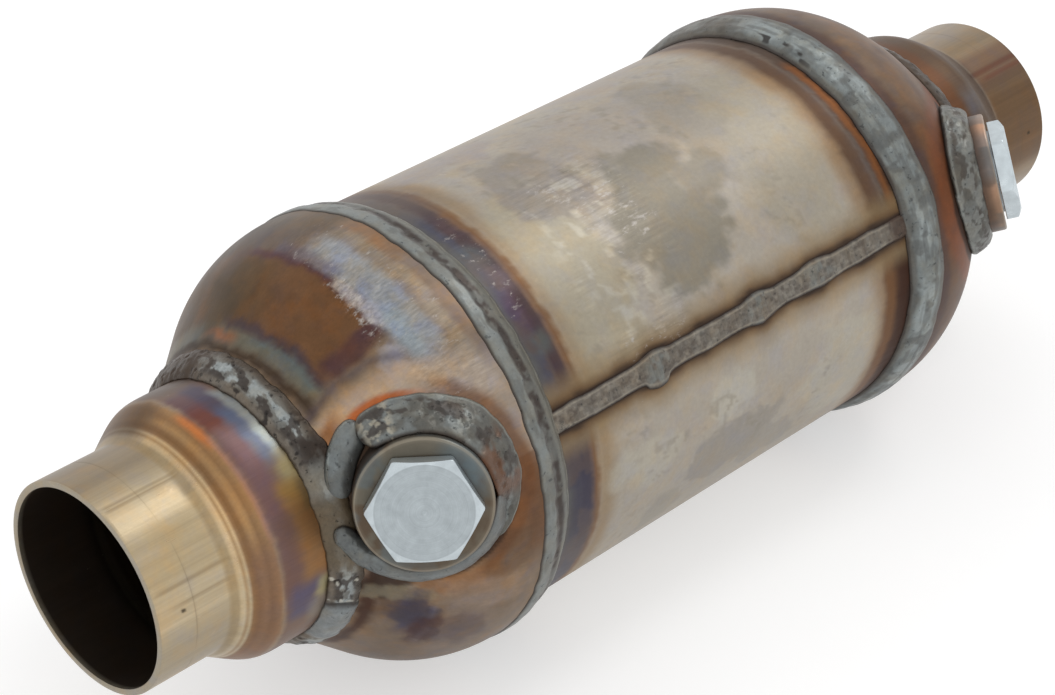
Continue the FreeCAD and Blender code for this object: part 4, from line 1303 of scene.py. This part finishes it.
def boss_run(end, seed, turns, centre_rho, half_width, crown, against_boss, porous, rim_height):
    """One run of bead along an arc about the boss: its section is a low arch between an inner toe,
    on the boss's side or on the dome, and an outer toe on the dome. Both ends round off to a
    point. Gives its grid of points and the paint of its top."""
    turns = np.linspace(*turns, 240)
    share = np.linspace(0, 1, 240)
    steps = np.linspace(0, 1, len(centre_rho))
    centre_rho, half_width, crown = [np.interp(share, steps, value)
                                     for value in (centre_rho, half_width, crown)]
    reach = np.minimum(turns - turns[0], turns[-1] - turns) * math.pi / 180 * boss_run_radius
    closing = np.sqrt(np.clip(1 - (1 - np.clip(reach / 3.0, 0, 1)) ** 2, 0, 1))
    along = boss_points(centre_rho, turns, 0.0, end)
    toe_rho = (centre_rho + half_width
               + 0.45 * rough(along, 6, seed) + 0.2 * grain(along, 2, seed + 2))
    root_rho = np.maximum(centre_rho - half_width, boss_radius - 0.05)
    toe_height = height_on_body(toe_rho, turns, end) - 0.1
    root_height = height_on_body(root_rho, turns, end) - 0.1
    on_boss = against_boss * (1 - rise(root_rho, boss_radius + 0.1, boss_radius + 1.2))
    climb = rim_height + 0.3 * rough(along, 6, seed + 4) - root_height
    root_height = root_height + climb * on_boss
    toe_height = np.minimum(toe_height, root_height + 0.6)
    toe_in = np.stack((root_rho, root_height), axis=-1)
    toe_out = np.stack((toe_rho, toe_height), axis=-1)
    centre = (toe_in + toe_out) / 2
    chord = toe_out - toe_in
    square = np.stack((-chord[:, 1], chord[:, 0]), axis=-1)
    square /= np.maximum(np.hypot(square[:, 0], square[:, 1]), 1e-6)[:, None]
    toe_in = centre + (toe_in - centre) * closing[:, None]
    chord = chord * closing[:, None]
    across, arch = arched(34)
    base = toe_in[:, None] + chord[:, None] * across[..., None]
    flat = boss_points(base[..., 0], turns[:, None], base[..., 1], end)
    height = crown[:, None] * arch ** (0.6 - 0.2 * porous)
    height = height * (1 + 0.22 * rough(flat, 5, seed + 6) * porous)
    pore = rise(rough(flat, 1.4, seed + 8, 2), 0.22, 0.5)
    pore = pore * rise(rough(flat, 5, seed + 10), -0.3, 0.1) * porous
    arc = turns[:, None] * math.pi / 180 * boss_run_radius
    ripple = ripples(arc / boss_ripple + 0.6 * np.sin(math.pi * across))
    height = height + arch * (0.20 * rough(flat, 1.6, seed + 12) * porous
                              + 0.05 * (ripple - 0.5) - 0.35 * pore)
    height = (height + 0.12 * line_at(across, 0.9, 0.05) * porous) * closing[:, None]
    top = base + square[:, None] * height[..., None]
    root = square[:, None] * boss_bead_root * closing[:, None, None]
    under = toe_in[:, None] + chord[:, None] * under_shares - root
    section = np.concatenate((top, under), axis=1)
    section[0], section[-1] = centre[0], centre[-1]
    grid = boss_points(section[..., 0], turns[:, None], section[..., 1], end)
    laid = np.stack(np.broadcast_arrays(across * 7, turns[:, None] * 0.16, 0 * height), axis=-1)
    paint = plain(height.shape, (93, 91, 85, 0.6))
    pale = rise(rough(laid, 3.0, seed + 14, 4), -0.1, 0.35)
    paint = over(paint, pale * 0.75, (122, 125, 122, 0.7))
    slag_mask = rise(rough(laid, 2.0, seed + 18, 4), 0.08, 0.24) * hump(across, 0.25, 0.85, 0.06)
    paint = over(paint, slag_mask * 0.8 * porous, (62, 54, 49, 0.6))
    paint = over(paint, (1 - porous) * 0.6, (116, 121, 121, 0.75))
    # Painted highlight: a thin light line along the bead's outer toe.
    paint = over(paint, line_at(across, 0.925, 0.03) * 0.65, (158, 161, 154, 0.7))
    paint = over(paint, (1 - rise(across, 0.02, 0.10)) * 0.85, (50, 40, 33, 0.45))
    paint = over(paint, rise(across, 0.965, 0.995) * 0.85, (44, 34, 28, 0.45))
    paint = over(paint, (1 - closing[:, None]) ** 2 * 0.8, (50, 42, 36, 0.5))
    if end == "outlet":
        paint = over(paint, 0.35, (88, 82, 74, 0.55))
        pale = rise(rough(laid, 1.6, seed + 34), 0.0, 0.3)
        return grid, over(paint, pale * 0.6, (134, 134, 128, 0.75))
    chips = rise(rough(flat, 1.6, seed + 26), 0.2, 0.4) * angle_in(turns[:, None], -84, -62, 3)
    paint = over(paint, chips * porous * 0.6, (176, 168, 150, 0.75))
    glassy = rise(rough(flat, 4, seed + 22), -0.35, 0.1) * angle_in(turns[:, None], -196, -154, 6)
    glassy = glassy * 0.75 * (1 - line_at(across, 0.925, 0.05))
    return grid, over(paint, glassy, (98, 60, 32, 0.65))


# Per run: its turns, then centre distance, half width and crown along it, whether it leans on the
# boss, how porous it is and how high it climbs on the boss
boss_runs = {
    ("inlet", "upper"): [
        ((-232, -58), (18.6, 18.4, 18.1, 18.1, 18.0, 18.2), (1.6, 2.8, 3.4, 3.4, 3.2, 2.8),
         (0.5, 0.7, 0.9, 1.0, 1.0, 1.0), 1, 1.0, 4.8),
        ((-63, -11), (19.6, 18.9, 18.1, 17.3), (3.5, 3.6, 3.3, 2.2), (2.3, 2.6, 2.2, 0.9),
         0, 0.15, 4.0)],
    ("inlet", "lower"): [
        ((5, 168), (18.8, 18.3, 17.7, 17.3, 17.0, 16.9, 16.4), (2.4, 2.5, 2.5, 2.5, 2.2, 2.0, 1.2),
         (1.9, 1.9, 1.8, 1.7, 1.5, 1.2, 0.7), 1, 0.2, 4.2)],
    ("outlet", "upper"): [
        ((-226, -34), (16.2, 16.8, 17.0, 17.1, 16.9, 16.2), (1.2, 1.9, 2.2, 2.4, 2.0, 1.1),
         (0.6, 1.0, 1.6, 1.9, 1.5, 0.5), 1, 1.0, 3.2)],
    ("outlet", "lower"): [
        ((-14, 186), (16.2, 16.9, 17.1, 16.8, 16.3), (1.2, 2.0, 2.2, 1.9, 1.1),
         (0.7, 1.7, 1.7, 1.2, 0.5), 1, 0.9, 2.8)],
}
for order, ((end, side), lays) in enumerate(boss_runs.items()):
    grids, paints = zip(*[boss_run(end, 500 + 40 * number + 97 * order, *lay)
                          for number, lay in enumerate(lays)])
    finished_bead(f"{end}_boss_bead_{side}", grids, paints, boss_bead_finish,
                  f"{end}_boss_weld_{side}", False, end == "outlet")


# Plugs: zinc-plated hexagon plugs screwed into the bosses. The head is faced on a lathe, which
# leaves fine rings, a centre pip and the round chamfer that takes its corners off.
head_base = 7.4
head_top = 11.6
across_flats = 22.0
chamfer_radius = 10.6
chamfer_angle = 30.0
washer_radius = 10.5
shank_radius = 9.0
shank_end = -3.0
thread_pitch = 1.5
thread_depth = 0.9
head_turn = {"inlet": -13.0, "outlet": -11.5}

zinc_finish, start, place = new_finish("bright zinc plating")
local, reach = lathe_place(start)
height = start.node("SeparateXYZ", {}, {0: local}, "Z")
top_share = start.node("MapRange", {}, {0: height, 1: 11.3, 2: 11.55, 3: 0.0, 4: 1.0})
sway = place.noise(160, 2)
rings = start.node("CombineXYZ", {}, {0: reach * 3.2 + sway * 0.8}).noise(1.0, 4, 0.65)
stain = place.noise(420, 5, 0.6)
fine = place.noise(2600, 2)
base = stain.rising(0.3, 0.85).between((190, 199, 203), (168, 176, 180))
bevel_share = start.node("MapRange", {}, {0: reach, 1: 10.5, 2: 10.7, 3: 0.0, 4: 1.0})
# The chamfer is cut smoother, and its lighter tone is a painted highlight on the head's corners.
tone = 0.83 + bevel_share * 0.28 + (rings - 0.5) * 0.45 * top_share * (1 - bevel_share)
tone = tone + (fine - 0.5) * 0.08
roughness = 0.36 - bevel_share * 0.06 + (stain - 0.5) * 0.2 + (rings - 0.5) * 0.1 * top_share
close_finish(start, base.dimmed(tone), roughness, 0.85, rings * top_share + fine * 0.25, 0.035)

plug_turns = np.arange(0, 360, 1.5)
for end in ("inlet", "outlet"):
    facing = (plug_turns - head_turn[end]) % 60 - 30
    hexagon = across_flats / 2 / np.cos(np.radians(facing))
    hexagon = np.minimum(hexagon, across_flats / 2 / math.cos(math.radians(30)) - 0.12)
    slope = math.tan(math.radians(chamfer_angle))
    chamfer_drop = np.maximum((hexagon - chamfer_radius) * slope, 0.06)
    rows = []
    for rho in (0.0001, 0.35, 0.6, 0.8, 1.4, 2.2, 3.0, 4.0, 5.0, 6.0, 7.0, 8.0, 9.0, 9.8, 10.3):
        pip = -0.16 * math.exp(-(rho / 0.45) ** 2) + 0.07 * math.exp(-((rho - 0.9) / 0.35) ** 2)
        rows.append((rho, head_top + pip - 0.06))
    rows += [(chamfer_radius - 0.05, head_top - 0.06), (chamfer_radius + 0.08, head_top - 0.1),
             (hexagon - 0.08, head_top - np.maximum(chamfer_drop - 0.04, 0.12)),
             (hexagon, head_top - chamfer_drop - 0.12)]
    rows += [(hexagon, head_base + (head_top - chamfer_drop - head_base) * (1 - share))
             for share in (0.3, 0.7)]
    rows += [(hexagon, head_base + 0.18), (hexagon - 0.15, head_base), (washer_radius, head_base),
             (washer_radius, boss_rim + 0.02), (shank_radius + 0.02, boss_rim + 0.02),
             (shank_radius - thread_depth, boss_rim - 0.3)]
    rows += [(shank_radius - thread_depth * ripples(height / thread_pitch + plug_turns / 360), height)
             for height in np.linspace(boss_rim - 0.6, shank_end + 1.3, 46)]
    rows += [(shank_radius - 1.1, shank_end + 0.4), (shank_radius - 1.6, shank_end), (0, shank_end)]
    rho, height = [np.array([row[part] + 0 * hexagon for row in rows]) for part in (0, 1)]
    rho[0] = 0
    grid = boss_points(rho, plug_turns, height, end)
    faces = grid_faces(*grid.shape[:2], wrap_columns=True)
    faces = faces[:, ::-1] if end == "inlet" else faces
    plug = mesh_piece(f"{end}_hexagon_plug", grid.reshape(-1, 3), faces, 24)
    kept(plug, "turning", "FLOAT_VECTOR", boss_local(rho, plug_turns, height))
    join_ends(plug)
    plug.data.set_sharp_from_angle(angle=math.radians(24))
    finished(plug, zinc_finish, f"{end}_plug")


# Floor and light: the converter lies on a plain pale floor under one large soft lamp overhead and
# two weaker ones. Floor and surroundings read as white, and the floor keeps the shadow.
def seen_directly(start):
    """1 for rays that come from the camera, off a mirror or through glass, and 0 for the rest."""
    seen, mirrored, passed = [start.node("LightPath", output=f"Is {kind} Ray")
                              for kind in ("Camera", "Glossy", "Transmission")]
    total = seen + mirrored + passed
    return total.maths("MINIMUM", total, 1.0)


floor_level = cad_bounds[0][2]
floor_half = 4
floor_mesh = bpy.data.meshes.new("floor")
floor_corners = [(x * floor_half, y * floor_half, floor_level)
                 for x, y in ((-1, -1), (1, -1), (1, 1), (-1, 1))]
floor_mesh.from_pydata(floor_corners, [], [(0, 1, 2, 3)])
floor = bpy.data.objects.new("floor", floor_mesh)
bpy.context.scene.collection.objects.link(floor)
floor_finish, start, place = new_finish("pale floor")
paper = place.noise(35, 4)
floor_colour = start.node("Mix", {"data_type": "RGBA"}, {
    0: paper, 6: (0.60, 0.60, 0.60, 1), 7: (0.62, 0.62, 0.62, 1)}, 2)
matt = start.node("BsdfDiffuse", {}, {"Color": floor_colour})
glow = start.node("Emission", {}, {"Color": (1, 1, 1, 1), "Strength": 0.5})
lit = start.node("AddShader", {}, {0: matt, 1: glow})
surface = start.node("MixShader", {}, {0: seen_directly(start), 1: matt, 2: lit})
start.node("OutputMaterial", {}, {"Surface": surface})
floor.data.materials.append(floor_finish)

world = bpy.data.worlds.new("studio")
bpy.context.scene.world = world
world.use_nodes = True
world.node_tree.nodes.clear()
start = Wire(world.node_tree)
soft = start.node("Background", {}, {"Color": (1, 1, 1, 1), "Strength": 0.85})
white = start.node("Background", {}, {"Color": (1, 1, 1, 1), "Strength": 1.0})
surface = start.node("MixShader", {}, {0: seen_directly(start), 1: soft, 2: white})
start.node("OutputWorld", {}, {"Surface": surface})

centre = np.array((overall_length / 2 * MM, 0, 0))
lamps = (("overhead", (0.6, -0.1, 0.8), 2.0, 0.6, 5.4),
         ("front", (-0.7, -0.7, 0.5), 2.2, 1.4, 1.5),
         ("side", (0.3, 0.9, 0.5), 2.2, 1.4, 1.5))
for name, direction, distance, size, power in lamps:
    lamp = bpy.data.lights.new(name, "AREA")
    lamp.shape, lamp.size, lamp.energy = "DISK", size, power
    holder = bpy.data.objects.new(name, lamp)
    toward = np.array(direction) / np.linalg.norm(direction)
    holder.location = centre + toward * distance
    holder.rotation_euler = Vector(toward).to_track_quat("Z", "Y").to_euler()
    bpy.context.scene.collection.objects.link(holder)


# Camera: above and in front of the inlet pipe, looking along the converter with a long lens.
# Small lens shifts set the converter's place in the view.
camera = bpy.data.objects.new("camera", bpy.data.cameras.new("camera"))
bpy.context.scene.collection.objects.link(camera)
camera.data.lens = 91.05
camera.data.sensor_width = 36.0
camera.data.shift_x = 0.0027
camera.data.shift_y = 0.0402
forward = np.array((0.5974, 0.58656, -0.54686))
right = np.array((0.7006, -0.71355, 0.0))
up = np.cross(right, forward)
turned = Matrix(np.stack((right, up, -forward), axis=-1).tolist())
camera.matrix_world = turned.to_4x4()
camera.location = (-0.25374, -0.37832, 0.34142)
bpy.context.scene.camera = camera

bpy.context.scene.view_settings.view_transform = "Standard"
